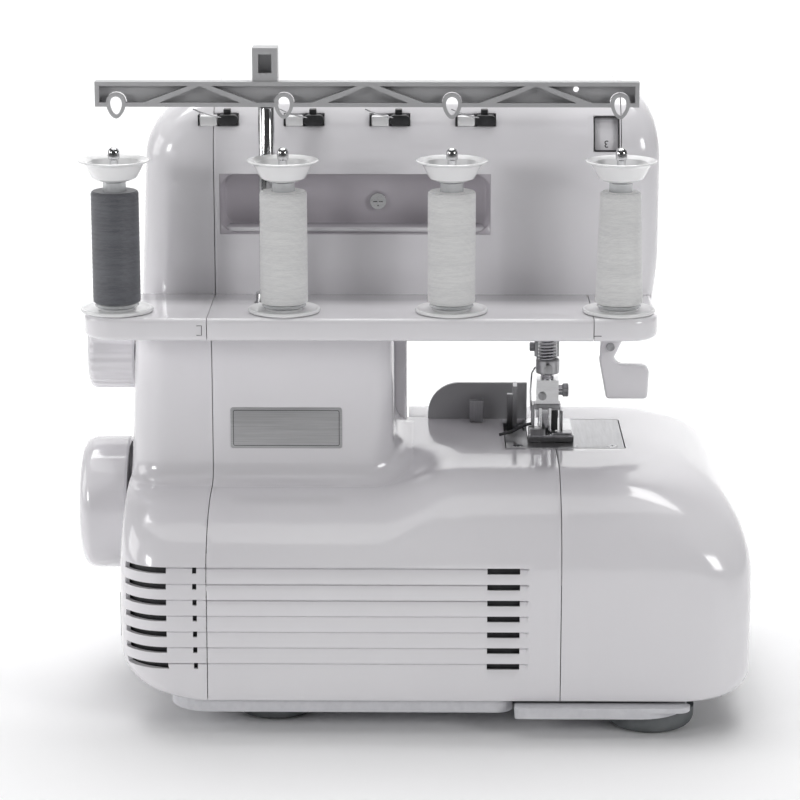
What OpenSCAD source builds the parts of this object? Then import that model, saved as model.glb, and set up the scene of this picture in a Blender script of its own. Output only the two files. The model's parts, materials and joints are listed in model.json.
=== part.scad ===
// Four-thread overlock (serger) sewing machine.
// Millimetres. +Z up, front at -Y, handwheel side at +X.
// The origin is at the middle of the footprint, on the surface that the feet stand on.

/* [Overall] */
// Width of the covers, without the handwheel
base_w = 304.5; // [290:0.5:366]
// Depth of the covers at the base
base_d = 185; // [176:1:222]
// Height of the bed above the table
bed_h = 122; // [116:1:146]
// Height of the top of the arm above the table
top_h = 297; // [290:1:340]
// Height of the underside of the spool shelf
shelf_z = 187; // [184:0.5:192]

/* [Covers] */
// Wall thickness of the plastic covers
wall = 2.5; // [2:0.1:3]
// Play between neighbouring covers
seam_gap = 0.4; // [0.2:0.1:0.8]
// Radius of the long shoulder at the back of the bed
shoulder_r = 45; // [36:1:50]
// Radius of the free end of the bed
end_r = 42; // [34:1:46]
// Distance from the handwheel side to the seam of the side cover
side_cover_w = 43; // [38:0.5:48]
// Width of the removable work table
table_w = 92.5; // [86:0.5:98]
// Number of vent slots
vent_count = 7; // [3:1:7]

/* [Arm] */
// How far the free end of the bed reaches past the arm
arm_inset = 42; // [36:1:50]
// Depth of the arm
arm_d = 97; // [90:1:104]
// Width of the column at its back
column_w = 130; // [120:1:136]
// Height of the arm's underside above the bed
throat_h = 56; // [50:1:60]

/* [Thread stand] */
// How far the shelf reaches past the side cover
shelf_over = 16.5; // [12:0.5:20]
// Thickness of the spool shelf
shelf_t = 11; // [9:0.5:13]
// How far the shelf stands out behind the arm
shelf_out = 60; // [54:1:72]
// Distance from the last spool pin to the shelf's free end
pin_inset = 18.5; // [16:0.5:24]
// Radius of a spool pin
pin_r = 2.8; // [2.2:0.1:3.4]
// Length of a spool pin above the shelf
pin_h = 79.5; // [76:0.5:96]
// Radius of a wound spool
spool_r = 11.5; // [9:0.5:15]
// Height of a wound spool
spool_h = 57; // [45:0.5:60]
// Outer radius of the telescopic pole
pole_r = 3.9; // [3.2:0.1:4.8]
// Travel of each telescopic section
pole_travel = 75; // [40:1:80]

/* [Drive] */
// Radius of the handwheel
wheel_r = 33.3; // [28:0.1:40]
// How far the handwheel stands out of the side cover
wheel_out = 25.5; // [20:0.5:30]
// Radius of the main shaft
shaft_r = 6; // [5:0.1:7]
// Running clearance on a radius
run = 0.06; // [0.02:0.01:0.09]
// Radius of the driven pulley
big_pulley_r = 27; // [20:0.5:30]
// Radius of the motor pulley
small_pulley_r = 9; // [8:0.5:11]
// Radius of the motor's case
motor_r = 24; // [20:0.5:28]
// Radius of the needle bar and the presser bar
bar_r = 3.2; // [2.8:0.1:3.6]

/* [Controls] */
// Radius of a thread tension dial
tension_r = 19.5; // [16:0.5:20]
// Distance between the tension dials
dial_pitch = 42; // [38:0.5:43]
// Radius of the stitch length dial
length_dial_r = 19; // [16:0.5:22]
// Thickness of a free play gap around moving knobs
play = 0.5; // [0.3:0.1:0.7]

/* [Feet] */
// Height of a rubber foot
foot_h = 10; // [8:0.5:12]
// Radius of a rubber foot
foot_r = 21.5; // [16:0.5:24]

/* [Hidden] */

fine = 64;
e = 0.01;

// Footprint: the handwheel counts in the width, the tray's lip and the cover's grip in the depth.
tray_out = 6;
grip_out = 5;
x_left = -(base_w + wheel_out) / 2;
x_right = x_left + base_w;
y_rear = (base_d + grip_out - tray_out) / 2;
y_front = y_rear - base_d;

// Levels
pan_t = 7;
z_pan = foot_h;
z_cover = z_pan + pan_t;
z_arm = bed_h + throat_h;
z_shelf_top = shelf_z + shelf_t;
z_step = z_shelf_top - wall;
z_loop_top = bed_h - 20;

// Seams of the covers
x_side = x_right - side_cover_w;
x_table = x_left + table_w;
y_loop = y_front + 42;
y_panel = y_front + 50;

// Arm and column
front_low_r = 20;
front_top_r = 34;
jaw_h = 14;
x_arm_r = x_right - 8.5;
x_arm_l = x_left + arm_inset;
x_col = x_right - column_w - 1.5;
y_arm_f = y_front;
y_arm_r = y_arm_f + arm_d;
y_col_r = y_arm_r + 30;
y_col_f = y_front + 6;
arm_top_r = 30;
x_face = x_arm_l + 20;

// Spool shelf
y_shelf = y_arm_r + shelf_out;
x_shelf_l = x_arm_l + 4;
x_shelf_r = x_right + shelf_over;
x_shelf_face = x_shelf_l + 31;
shelf_corner = 16;
y_pin = y_shelf - 18;
x_pin_0 = x_shelf_r - 15.5;
pin_pitch = (x_pin_0 - x_shelf_l - pin_inset) / 3;
x_pin = [for (i = [0:3]) x_pin_0 - i * pin_pitch];

// Telescopic pole, beside the second spool's disc
disc_r = 17.5;
pole_beside = 9;
pole_clear = 2.37;
x_pole = x_pin[1] + pole_beside;
y_pole = y_pin - sqrt(pow(disc_r + pole_r + pole_clear, 2) - pow(pole_beside, 2));
z_bar = top_h - 2.3;
bar_h = 12;
bar_over = 9;

// Main shaft
y_shaft = y_front + 87;
z_shaft = z_cover + 71.7;
x_shaft_l = x_table + 34;
pulley_w = 9;
x_pulley = x_side + 7;
y_motor = y_rear - 37;
z_motor = z_cover + 32;

// Needle and presser
x_needle = x_table + 3.5;
y_needle = y_front + 67;
y_presser = y_needle + 16;
plate_t = 2.5;
plate_x0 = x_table - 34.5;
plate_x1 = x_table + 24.5;
plate_y0 = y_needle - 20;
plate_y1 = y_needle + 39;
beam_z = z_arm + 22;
beam_h = 20;
z_beam_top = beam_z + beam_h;
needle_tip = bed_h + 7;

// Needle lever: a walking beam that rocks about y, its long arm beside the needle bar
lever_arm = 52;
lever_pin_r = 4;
x_lever = x_needle + lever_arm;
x_rod = x_col + 20;
lever_back = x_rod - x_lever;
z_lever = z_beam_top + 34;
y_lever = [y_needle - 9.5, y_needle - 4.5];

// Loopers and knife
looper_pin_r = 2.5;
x_lower = x_needle + 30;
z_lower = z_shaft - 18;
x_upper = x_lower + 12;
z_upper = z_lower - 4;
x_knife_pin = x_needle + 22;
y_knife_pin = y_needle - 12;

// Dials
x_dial = [for (i = [0:3]) x_side - 2.5 - i * dial_pitch];
y_dial = y_front + 15;
z_dial = top_h - 52;
dial_w = 9;
axle_r = 3;
y_press_dial = y_arm_r - arm_top_r;
z_press_dial = top_h - arm_top_r;
x_press_dial = x_face + 1;
z_len_dial = bed_h + 43;
y_len_dial = y_front + 77;
x_len_out = x_right + wheel_out - 4;
y_diff_dial = y_front + 34;
z_diff_dial = z_cover + 70;

// Grip recess at the back of the arm
x_grip = [x_side - 136, x_side - 1.5 - seam_gap];
z_grip = [top_h - 69, top_h - 39];
grip_deep = 17;
x_grip_screw = x_side - 80.5;
z_grip_screw = top_h - 55;

// Rolled hem lever
x_hem = x_col - 42;
y_hem = y_loop + 10;

// Power inlet and switch, in one block
y_power = [y_rear - 65, y_rear - 25];
z_power = [z_cover + 24, z_cover + 46];
y_switch = [y_power[0] + 2, y_power[0] + 13];
y_socket = [y_power[0] + 16, y_power[1] - 3];
x_rock = x_right - 5;
z_rock = (z_power[0] + z_power[1]) / 2;
rock_tilt = 7;

// Vents
vent_pitch = 7.9;
vent_h = 3;
z_vent = z_cover + 66;

white = [0.93, 0.92, 0.94];
grey = [0.62, 0.62, 0.63];
steel = [0.72, 0.72, 0.74];
dark = [0.2, 0.2, 0.21];

// Points on an arc round c, from angle a0 to a1
function arc(c, r, a0, a1, n = 8) =
  [for (i = [0:n]) let (a = a0 + (a1 - a0) * i / n) c + r * [cos(a), sin(a)]];

// A 2D shape in (y, z), carried from x0 to x1
module along_x(x0, x1) {
  translate([x0, 0, 0]) rotate([90, 0, 90]) linear_extrude(x1 - x0) children();
}

// A 2D shape in (x, z), carried from y0 to y1
module along_y(y0, y1) {
  translate([0, y1, 0]) rotate([90, 0, 0]) linear_extrude(y1 - y0) children();
}

// A 2D shape in (x, y), carried from z0 to z1
module along_z(z0, z1) {
  translate([0, 0, z0]) linear_extrude(z1 - z0) children();
}

module rod_x(x0, x1, y, z, r) {
  translate([x0, y, z]) rotate([0, 90, 0]) cylinder(r = r, h = x1 - x0, $fn = fine);
}

module rod_y(y0, y1, x, z, r) {
  translate([x, y1, z]) rotate([90, 0, 0]) cylinder(r = r, h = y1 - y0, $fn = fine);
}

module rod_z(z0, z1, x, y, r) {
  translate([x, y, z0]) cylinder(r = r, h = z1 - z0, $fn = fine);
}

module box(x, y, z) {
  translate([x[0], y[0], z[0]]) cube([x[1] - x[0], y[1] - y[0], z[1] - z[0]]);
}

// Rounded rectangle with its own radius at each corner: left-front, right-front, right-rear, left-rear
module plan(x0, x1, y0, y1, r) {
  polygon(concat(
    arc([x0 + r[0], y0 + r[0]], r[0], 180, 270), arc([x1 - r[1], y0 + r[1]], r[1], 270, 360),
    arc([x1 - r[2], y1 - r[2]], r[2], 0, 90), arc([x0 + r[3], y1 - r[3]], r[3], 90, 180)));
}

// Side profile of the base: flat bed, long shoulder at the back, small one at the front; t moves it inwards
module base_side(t) {
  polygon(concat(
    [[y_front + t, z_cover - (t > 0 ? 1 : 0)], [y_rear - t, z_cover - (t > 0 ? 1 : 0)]],
    arc([y_rear - shoulder_r, bed_h - shoulder_r], shoulder_r - t, 0, 90, 10),
    arc([y_front + front_low_r, bed_h - front_low_r], front_low_r - t, 90, 180, 5)));
}

// Side profile of the column and the arm above it
module upper_side(t, z0) {
  step = z_step + t / 2;
  polygon(concat(
    [[y_col_f + t, z0], [y_col_r - t, z0], [y_col_r - t, step], [y_arm_r - t, step]],
    arc([y_arm_r - arm_top_r, top_h - arm_top_r], arm_top_r - t, 0, 90),
    arc([y_arm_f + front_top_r, top_h - front_top_r], front_top_r - t, 90, 180),
    [[y_arm_f + t, z_arm + jaw_h], [y_col_f + t, z_arm]]));
}

// Side profile of the arm alone, over the open throat
module arm_side(t) {
  jaw_in = 8;
  polygon(concat(
    [[y_arm_f + jaw_in + t, z_arm + t], [y_arm_r - t, z_arm + t]],
    arc([y_arm_r - arm_top_r, top_h - arm_top_r], arm_top_r - t, 0, 90),
    arc([y_arm_f + front_top_r, top_h - front_top_r], front_top_r - t, 90, 180),
    [[y_arm_f + t, z_arm + jaw_h]]));
}

// Outline of the shelf from above; t moves its three free edges inwards
module shelf_plan(t) {
  plan(x_shelf_l + t, x_shelf_r - t, y_arm_r - 8, y_shelf - t,
    [1, 1, shelf_corner - t, shelf_corner - t]);
}

// The shelf between two seams, hollow from below
module shelf(x0, x1) {
  intersection() {
    difference() {
      along_z(shelf_z, z_shelf_top) shelf_plan(0);
      along_z(shelf_z - 1, z_shelf_top - wall) shelf_plan(wall);
      box([x_shelf_l - 1, x_shelf_r + 1], [y_arm_r - 20, y_arm_r], [shelf_z - 1, z_shelf_top + 1]);
      for (x = x_pin) rod_z(shelf_z - 1, z_shelf_top + 1, x, y_pin, pin_r);
      rod_z(shelf_z - 1, z_shelf_top + 1, x_pole, y_pole, pole_r + 3.1);
    }
    box([x0, x1], [y_arm_r - 20, y_shelf + 1], [shelf_z - 2, z_shelf_top + 2]);
  }
}

// Level of vent slot i
function vent_z(i) = z_vent - vent_pitch * i;

// Windows for the thread guides in the top of the arm
guide_w = 20;
z_guide = [top_h - 16, top_h - 10];
module guide_windows() {
  for (x = x_dial) box([x - guide_w / 2, x + guide_w / 2], [y_arm_r - 22, y_arm_r + 1], z_guide);
}

// Back of the base, the bed, the back of the column, the back of the arm and the middle of the shelf
module rear_cover() {
  color(white) {
    difference() {
      union() {
        difference() {
          along_x(x_table, x_side - seam_gap) base_side(0);
          along_x(x_table - 1, x_side + 1) base_side(wall);
        }
        box([x_col, x_col + wall], [y_panel, y_col_r], [bed_h - wall, z_arm + wall]);
        box([x_col, x_col + wall], [y_arm_r - wall, y_col_r], [z_arm, z_step]);
        box([x_col, x_side - seam_gap], [y_col_r - wall, y_col_r], [bed_h - wall, z_step]);
      }
      // the front belongs to the looper cover
      box([x_left, x_right], [y_front - 1, y_loop], [0, bed_h + 1]);
      // the column is open to the base
      box([x_col + wall, x_right], [y_panel - 20, y_col_r - wall], [bed_h - 2 * wall, z_step + 1]);
      box([x_col - 7, x_right], [y_loop - 1, y_panel], [bed_h - 2 * wall, bed_h + 1]);
      // seat of the needle plate, and the slot of the rolled hem lever
      box([plate_x0 - 1, plate_x1 + play], [plate_y0 - play, plate_y1 + play],
        [bed_h - wall - 1, bed_h + 1]);
      box([x_hem - 1.7, x_hem + 1.7], [y_hem - 1.5, y_hem + 11.5], [bed_h - wall - 1, bed_h + 1]);
      for (i = [0:vent_count - 1]) {
        box([x_table + 16, x_side], [y_rear - 1, y_rear + 1], [vent_z(i) - 0.6, vent_z(i) + 0.6]);
        box([x_table + 19.5, x_table + 35], [y_rear - 5, y_rear + 1], [vent_z(i) - vent_h, vent_z(i)]);
      }
    }
    difference() {
      along_x(x_face, x_side - seam_gap) arm_side(0);
      along_x(x_face - 1, x_side + 1) arm_side(wall);
      box([x_left, x_right], [y_arm_f - 20, y_panel], [z_arm - 1, top_h + 1]);
      box([x_col + wall, x_right], [y_panel - 1, y_arm_r - wall], [z_arm - 1, z_arm + wall + 1]);
      bar_slots();
      box([x_grip[0], x_grip[1] - 1], [y_arm_r - wall - 1, y_arm_r + 1], z_grip);
      guide_windows();
      box([x_press_dial - 0.5, x_press_dial + 12.5], [y_press_dial + 4, y_arm_r + 1],
          [z_press_dial + 2, z_press_dial + 19]);
    }
    grip_tray();
    shelf(x_shelf_face + seam_gap, x_side - seam_gap);
  }
}

// Slots in the underside of the arm for the two bars and the lifter
module bar_slots() {
  box([x_needle - 8, x_needle + 8], [y_needle - 8, y_presser + 8], [z_arm - 1, z_arm + wall + 1]);
  box([x_needle - 37, x_needle - 25], [y_presser - 6, y_presser + 8], [z_arm - 1, z_arm + wall + 1]);
}

// Tray that closes the grip recess: thin walls and a screw hole
module grip_tray() {
  difference() {
    box([x_grip[0] - wall, x_grip[1] + wall - 1], [y_arm_r - grip_deep - wall, y_arm_r - wall],
        [z_grip[0] - wall, z_grip[1] + wall]);
    box([x_grip[0], x_grip[1] - 1], [y_arm_r - grip_deep, y_arm_r + 1], z_grip);
    rod_y(y_arm_r - grip_deep - 5, y_arm_r, x_grip_screw, z_grip_screw, screw_hole_r);
  }
}

// Outline of the side cover seen from the back; t moves its outer edge inwards
module side_front(t) {
  low_r = 22;
  top_r = 34;
  polygon(concat(
    [[x_side - 30, z_cover - (t > 0 ? 1 : 0)]],
    [[x_right - low_r, z_cover - (t > 0 ? 1 : 0)]],
    arc([x_right - low_r, z_cover + low_r], low_r - t, 270, 360),
    [[x_right - t, z_cover + 60], [x_right - 5 - t, shelf_z]],
    arc([x_arm_r - top_r, top_h - top_r], top_r - t, 0, 90),
    [[x_side - 30, top_h - t]]));
}

module side_solid(t) {
  end_front_r = 14;
  end_rear_r = 24;
  end_column_r = 18;
  intersection() {
    along_y(y_front - 5, y_rear + 5) side_front(t);
    union() {
      intersection() {
        along_x(x_side - 20, x_right + 1) base_side(t);
        along_z(z_cover - 1, bed_h + 1)
          plan(x_side - 40, x_right - t, y_front + t, y_rear - t, [1, end_front_r, end_rear_r - t, 1]);
      }
      intersection() {
        along_x(x_side - 20, x_right + 1) upper_side(t, z_cover + 20);
        along_z(z_cover - 1, top_h + 1)
          plan(x_side - 40, x_right - t, y_front + t, y_col_r - t, [1, end_front_r, end_column_r - t, 1]);
      }
    }
  }
}

// Cover of the handwheel side, with its end of the shelf
module side_cover() {
  color(white) {
    difference() {
      side_solid(0);
      side_solid(wall);
      box([x_side - 60, x_side], [y_front - 1, y_rear + 1], [0, top_h + 1]);
      // shaft, dials, inlet and switch
      rod_x(x_side, x_right + 1, y_shaft, z_shaft, shaft_r + 4);
      rod_x(x_side, x_right + 1, y_len_dial, z_len_dial, 6);
      rod_x(x_side, x_right + 1, y_diff_dial, z_diff_dial, 5);
      box([x_right - 12, x_right + 1], y_power, z_power);
      for (i = [0:vent_count - 1]) {
        box([x_right - 24.7, x_right - 7.5], [y_rear - 12, y_rear + 1], [vent_z(i) - vent_h, vent_z(i)]);
        box([x_side + 4.5, x_side + 6.5], [y_rear - 5, y_rear + 1], [vent_z(i) - vent_h, vent_z(i)]);
      }
      guide_windows();
      dial_slots();
    }
    shelf(x_side, x_shelf_r + 1);
  }
}

// Slots that the tension dials stand out of
module dial_slots() {
  for (x = x_dial) box([x - dial_w / 2 - play, x + dial_w / 2 + play], [y_front - 1, y_front + 12],
    [z_dial - tension_r - 1, z_dial + tension_r + 1]);
}

// Front of the arm and the column, with four dial slots
module front_panel() {
  color(white) {
    difference() {
      union() {
        along_x(x_col - 6, x_side - seam_gap) upper_side(0, z_loop_top + seam_gap);
        along_x(x_face, x_col) arm_side(0);
      }
      box([x_face - 1, x_side + 1], [y_panel - seam_gap, y_shelf], [0, top_h + 1]);
      along_x(x_col - 6 + wall, x_side + 1) upper_side(wall, z_loop_top - 1);
      along_x(x_face - 1, x_side + 1) arm_side(wall);
      dial_slots();
      bar_slots();
    }
    box([x_col - 6, x_col + wall], [y_panel - seam_gap - wall, y_panel - seam_gap], [bed_h, z_arm + e]);
  }
}

module face_solid(t) {
  crown_r = 28;
  lean = 4;
  lean_h = 36;
  intersection() {
    along_x(x_arm_l + t, x_face + 20) arm_side(t);
    along_y(y_arm_f - 1, y_arm_r + 1) polygon(concat(
      [[x_arm_l + lean + t, z_arm - 1], [x_arm_l + t, z_arm + lean_h]],
      arc([x_arm_l + crown_r, top_h - crown_r], crown_r - t, 180, 90),
      [[x_face + 20, top_h + 1], [x_face + 20, z_arm - 1]]));
    along_z(z_arm - 1, top_h + 1)
      plan(x_arm_l + t, x_face + 30, y_arm_f + t, y_arm_r - t, [20, 1, 1, 14 - t]);
  }
}

// Free end of the arm, with its end of the shelf
module face_cover() {
  color(white) {
    difference() {
      face_solid(0);
      face_solid(wall);
      box([x_face - seam_gap, x_face + 40], [y_arm_f - 1, y_arm_r + 1], [z_arm - 1, top_h + 1]);
      bar_slots();
    }
    shelf(x_shelf_l - 1, x_shelf_face);
  }
}

// Plan of the work table; the corners at its free end are round
module table_solid(t) {
  low_r = 12;
  plan_r = 22;
  intersection() {
    along_x(x_left + t, x_table + 20) base_side(t);
    along_y(y_front - 1, y_rear + 1) polygon(concat(
      [[x_table + 20, z_cover - (t > 0 ? 1 : 0)], [x_table + 20, bed_h + 1]],
      arc([x_left + end_r, bed_h - end_r], end_r - t, 90, 180, 10),
      arc([x_left + low_r, z_cover + low_r], low_r - t, 180, 270, 5),
      t > 0 ? [[x_left + low_r, z_cover - 1]] : []));
    along_z(z_cover - 2, bed_h + 1)
      plan(x_left + t, x_table + 40, y_front + t, y_rear - t, [plan_r - t, 1, 1, plan_r - t]);
  }
}

// Removable work table that closes the free end of the base
module work_table() {
  color(white) difference() {
    table_solid(0);
    table_solid(wall);
    box([x_table - seam_gap, x_table + 50], [y_front - 1, y_rear + 1], [z_cover - 1, bed_h + 2]);
    box([plate_x0 - play, x_table + 1], [plate_y0 - play, plate_y1 + play], [bed_h - wall - 1, bed_h + 1]);
  }
}

// Hinged cover in front of the loopers, with a finger grip and a lip under the column
module looper_cover() {
  grip_z = z_loop_top - 12;
  grip_h = 4;
  x0 = x_table + seam_gap;
  x1 = x_side - 2 * seam_gap;
  color(white) {
    difference() {
      along_x(x0, x_col - 7) base_side(0);
      along_x(x0 - 1, x_col) base_side(wall);
      box([x0 - 1, x_col], [y_loop - seam_gap, y_rear + 1], [0, bed_h + 1]);
      box([x0 - 1, x_col], [y_front - 1, y_loop], [0, z_cover + 2]);
    }
    box([x_col - 7 - e, x1], [y_front, y_front + wall], [z_cover + 2, z_loop_top]);
    box([x_col - 7 - e, x1], [y_front, y_front + 9], [z_loop_top - wall, z_loop_top]);
    box([x_col + 20, x_col + 60], [y_front - grip_out, y_front + e], [grip_z, grip_z + grip_h]);
  }
}

// Bottom pan under the covers
module bottom_pan() {
  color(white) difference() {
    along_z(z_pan, z_cover) plan(x_table + 22, x_right - 24, y_front + 5, y_rear - 3, [8, 16, 20, 8]);
    for (p = foot_places) rod_z(z_pan - 1, z_cover + 1, p[0], p[1], screw_hole_r);
  }
}

// Tray under the free end, with a lip that shows round the work table
module free_arm_tray() {
  tray_t = 3;
  x0 = x_left + 30;
  x1 = x_table + 22 - seam_gap;
  color(white) difference() {
    union() {
      along_z(z_pan, z_pan + tray_t) plan(x0, x1, y_front + 5, y_rear + tray_out, [16, 2, 2, 24]);
      along_z(z_pan + tray_t - e, z_pan + 5.4) plan(x0, x1, y_rear - 2, y_rear + tray_out, [2, 2, 2, 6]);
      box([x_left + 60, x_table], [y_front + 30, y_rear - 30], [z_pan + tray_t - e, z_cover]);
    }
    for (p = foot_places) rod_z(z_pan - 1, z_cover + 1, p[0], p[1], screw_hole_r);
  }
}

// Feet: two under the free end, two under the handwheel end
screw_hole_r = 2.2;
foot_edge_r = 6;
foot_places = [
  [x_left + 48, y_rear - 20], [x_right - 74.5, y_rear - 38],
  [x_left + 48, y_front + 32], [x_right - 58, y_front + 30]];

module rubber_feet() {
  color(dark) for (p = foot_places) difference() {
    translate([p[0], p[1], 0]) rotate_extrude($fn = fine)
      polygon(concat(
        [[0, 0], [foot_r - foot_edge_r, 0]],
        arc([foot_r - foot_edge_r, foot_edge_r], foot_edge_r, 270, 350, 6),
        [[foot_r, foot_h], [0, foot_h]]));
    rod_z(-1, foot_h - 4, p[0], p[1], 3.6);
    rod_z(0, foot_h + 1, p[0], p[1], screw_hole_r);
  }
}

// Screw along +Z with a cross recess, its head's top at z = 0
module cross_screw(head_r, head_h, shank_r, length) {
  difference() {
    union() {
      translate([0, 0, -head_h]) cylinder(r = head_r, h = head_h, $fn = fine);
      translate([0, 0, -length]) cylinder(r = shank_r, h = length - head_h + e, $fn = fine);
    }
    for (a = [0, 90]) rotate(a) translate([-head_r * 0.6, -0.4, -head_h * 0.6])
      cube([head_r * 1.2, 0.8, head_h]);
  }
}

// Foot screws, needle plate screws and the screw in the grip recess
module screws() {
  color(steel) {
    for (p = foot_places) translate([p[0], p[1], foot_h - 6]) rotate([180, 0, 0])
      cross_screw(3.3, 2, 1.9, z_cover + 4 - foot_h + 6);
    for (x = [plate_x0 + 6, plate_x1 - 6])
      translate([x, plate_y1 - 5, bed_h]) cross_screw(2.4, 1.2, 1.4, 9);
    translate([x_grip_screw, y_arm_r - grip_deep + 2, z_grip_screw]) rotate([-90, 0, 0])
      cross_screw(4, 2, 2, 9);
  }
}

// Cast frame: base plate, bearing wall, post, arm beam, and the pins and ears of the mechanism
module main_frame() {
  z_base = z_cover + 5;
  wall_r = 12;
  x_wall = x_shaft_l + 10;
  x_post = x_side - 12;
  bush_r = shaft_r + 3;
  color(steel) difference() {
    union() {
      box([x_left + 14, x_side - 4], [y_front + 14, y_rear - 8], [z_cover, z_base]);
      box([x_wall, x_wall + 8], [y_shaft - wall_r, y_shaft + wall_r], [z_base - e, z_shaft]);
      rod_x(x_wall, x_wall + 8, y_shaft, z_shaft, wall_r);
      box([x_post, x_post + 8], [y_shaft - 27, y_arm_r - wall - 0.5], [z_base - e, beam_z + e]);
      rod_x(x_post, x_post + 8, y_shaft, z_shaft, wall_r);
      difference() {
        box([x_arm_l + 25, x_post + 8], [y_needle - 9, y_presser + 9], [beam_z, z_beam_top]);
        box([x_needle + 12, x_post - 2], [y_needle + 1, y_presser + 3], [beam_z + 4, z_beam_top + 1]);
        box([x_rod - 6, x_rod + 6], [y_needle - 10, y_needle + 16], [beam_z - 1, z_beam_top + 1]);
      }
      // ear and pin of the needle lever
      box([x_lever - 8, x_lever + 8], [y_lever[1] + 0.5, y_lever[1] + 4.5], [z_beam_top - e, z_lever + 8]);
      rod_y(y_lever[0] - 1, y_lever[1] + 0.5 + e, x_lever, z_lever, lever_pin_r);
      // lug behind the grip recess
      box([x_grip_screw - 6, x_grip_screw + 6], [y_arm_r - grip_deep - 9, y_arm_r - grip_deep - wall],
          [beam_z + 4 - e, z_grip_screw + 6]);
      // ear and axle of the presser pressure dial
      box([x_press_dial + 14, x_press_dial + 18], [y_press_dial - 5, y_press_dial + 5],
          [z_beam_top - e, z_press_dial + 5]);
      rod_x(x_press_dial + 1, x_press_dial + 14 + e, y_press_dial, z_press_dial, 4);
      // brackets of the tension axle
      for (x = [x_dial[3] - 11, x_dial[0] - 11]) {
        box([x, x + 4], [y_dial - 4, y_needle - 9 + e], [beam_z + 4, beam_z + 12]);
        box([x, x + 4], [y_dial - 4, y_dial + 4], [beam_z + 4, z_dial]);
        rod_x(x, x + 4, y_dial, z_dial, 5);
      }
      // lifter bracket, through the underside of the arm
      box([x_needle - 35, x_needle - 27], [y_presser - 5, y_presser - 1], [z_arm - 12, beam_z + e]);
      rod_y(y_presser - 1 - e, y_presser + 8, x_needle - 31, z_arm - 8, 2);
      // posts of the needle plate, looper brackets and pins, knife pin
      for (x = [plate_x0 + 6, plate_x1 - 6]) rod_z(z_base - e, bed_h - plate_t, x, plate_y1 - 5, 4);
      box([x_lower - 4, x_lower + 4], [y_needle - 3.5, y_needle], [z_base - e, z_lower + 4]);
      rod_y(y_needle - 9, y_needle - 3.5 + e, x_lower, z_lower, looper_pin_r);
      box([x_upper - 4, x_upper + 4], [y_needle - 17, y_needle - 14], [z_base - e, z_upper + 4]);
      rod_y(y_needle - 23, y_needle - 17 + e, x_upper, z_upper, looper_pin_r);
      rod_z(z_base - e, bed_h - 8, x_knife_pin, y_knife_pin, looper_pin_r);
    }
    for (x = [x_wall, x_post]) rod_x(x - 1, x + 9, y_shaft, z_shaft, bush_r);
    rod_z(beam_z - 1, z_beam_top + 1, x_needle, y_needle, bar_r + run);
    rod_z(beam_z - 1, z_beam_top + 1, x_needle, y_presser, bar_r + run);
    rod_x(x_dial[3] - 12, x_dial[0], y_dial, z_dial, axle_r);
    rod_y(y_arm_r - grip_deep - 10, y_arm_r - grip_deep, x_grip_screw, z_grip_screw, 2);
    for (x = [plate_x0 + 6, plate_x1 - 6]) rod_z(bed_h - plate_t - 10, bed_h, x, plate_y1 - 5, 1.5);
    for (p = foot_places) rod_z(z_cover - 1, z_cover + 6, p[0], p[1], 1.95);
  }
}

module rating_label() {
  color(grey) box([x_col + 25, x_col + 79.6], [y_col_r, y_col_r + 0.4], [bed_h + 5, bed_h + 25.5]);
}

// Dark plastic block in each thread guide window, with a groove for the thread
module guide_blocks() {
  color(dark) for (x = x_dial) difference() {
    box([x - guide_w / 2, x + guide_w / 2], [y_arm_r - 21, y_arm_r - 8], z_guide);
    box([x - 1, x + 8], [y_arm_r - 13, y_arm_r - 7], [z_guide[0] + 1.5, z_guide[0] + 3]);
  }
}

// Sprung metal leaf that holds the thread in each guide
module guide_springs() {
  color(steel) for (x = x_dial)
    box([x - 2, x + 9], [y_arm_r - 8, y_arm_r - 7.4], [z_guide[1] - 2.5, z_guide[1] - 0.5]);
}

module spool_pins() {
  color(steel) for (x = x_pin) {
    rod_z(shelf_z + 2, z_shelf_top + pin_h - pin_r, x, y_pin, pin_r);
    translate([x, y_pin, z_shelf_top + pin_h - pin_r]) sphere(r = pin_r, $fn = fine);
  }
}

disc_t = 2;
module spool_discs() {
  color(white) for (x = x_pin) difference() {
    rod_z(z_shelf_top, z_shelf_top + disc_t, x, y_pin, disc_r);
    rod_z(z_shelf_top - 1, z_shelf_top + disc_t + 1, x, y_pin, pin_r + run);
  }
}

// Dish that sits on the pin above each spool
z_cap = z_shelf_top + disc_t + spool_h + 4.5;
cap_r = 17;
module spool_caps() {
  color(white) for (x = x_pin) translate([x, y_pin, z_cap]) rotate_extrude($fn = fine)
    polygon([
      [pin_r + run, 0], [8, 0], [11, 1.5], [14, 8], [cap_r, 9], [cap_r, 10], [13, 9.4],
      [9.8, 2.8], [pin_r + 1.6, 2], [pin_r + 1.6, 6], [pin_r + run, 6]]);
}

// Wound spool on a clear tube
module thread_spool(i) {
  core_r = 5.5;
  color(i == 0 ? [0.35, 0.37, 0.42] : [0.95, 0.95, 0.94])
    translate([x_pin[i], y_pin, z_shelf_top + disc_t + 0.3]) difference() {
      union() {
        cylinder(r = core_r, h = spool_h + 3.5, $fn = fine);
        translate([0, 0, 2]) cylinder(r = spool_r, h = spool_h - 3, $fn = fine);
      }
      translate([0, 0, -1]) cylinder(r = pin_r + 1, h = spool_h + 6, $fn = fine);
    }
}

// Collar that clamps the pole to the shelf
module pole_base() {
  color(steel) difference() {
    union() {
      rod_z(shelf_z + 1, z_shelf_top, x_pole, y_pole, pole_r + 3);
      rod_z(z_shelf_top, z_shelf_top + 5, x_pole, y_pole, pole_r + 2);
    }
    rod_z(shelf_z, z_shelf_top + 6, x_pole, y_pole, pole_r + run);
  }
}

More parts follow.
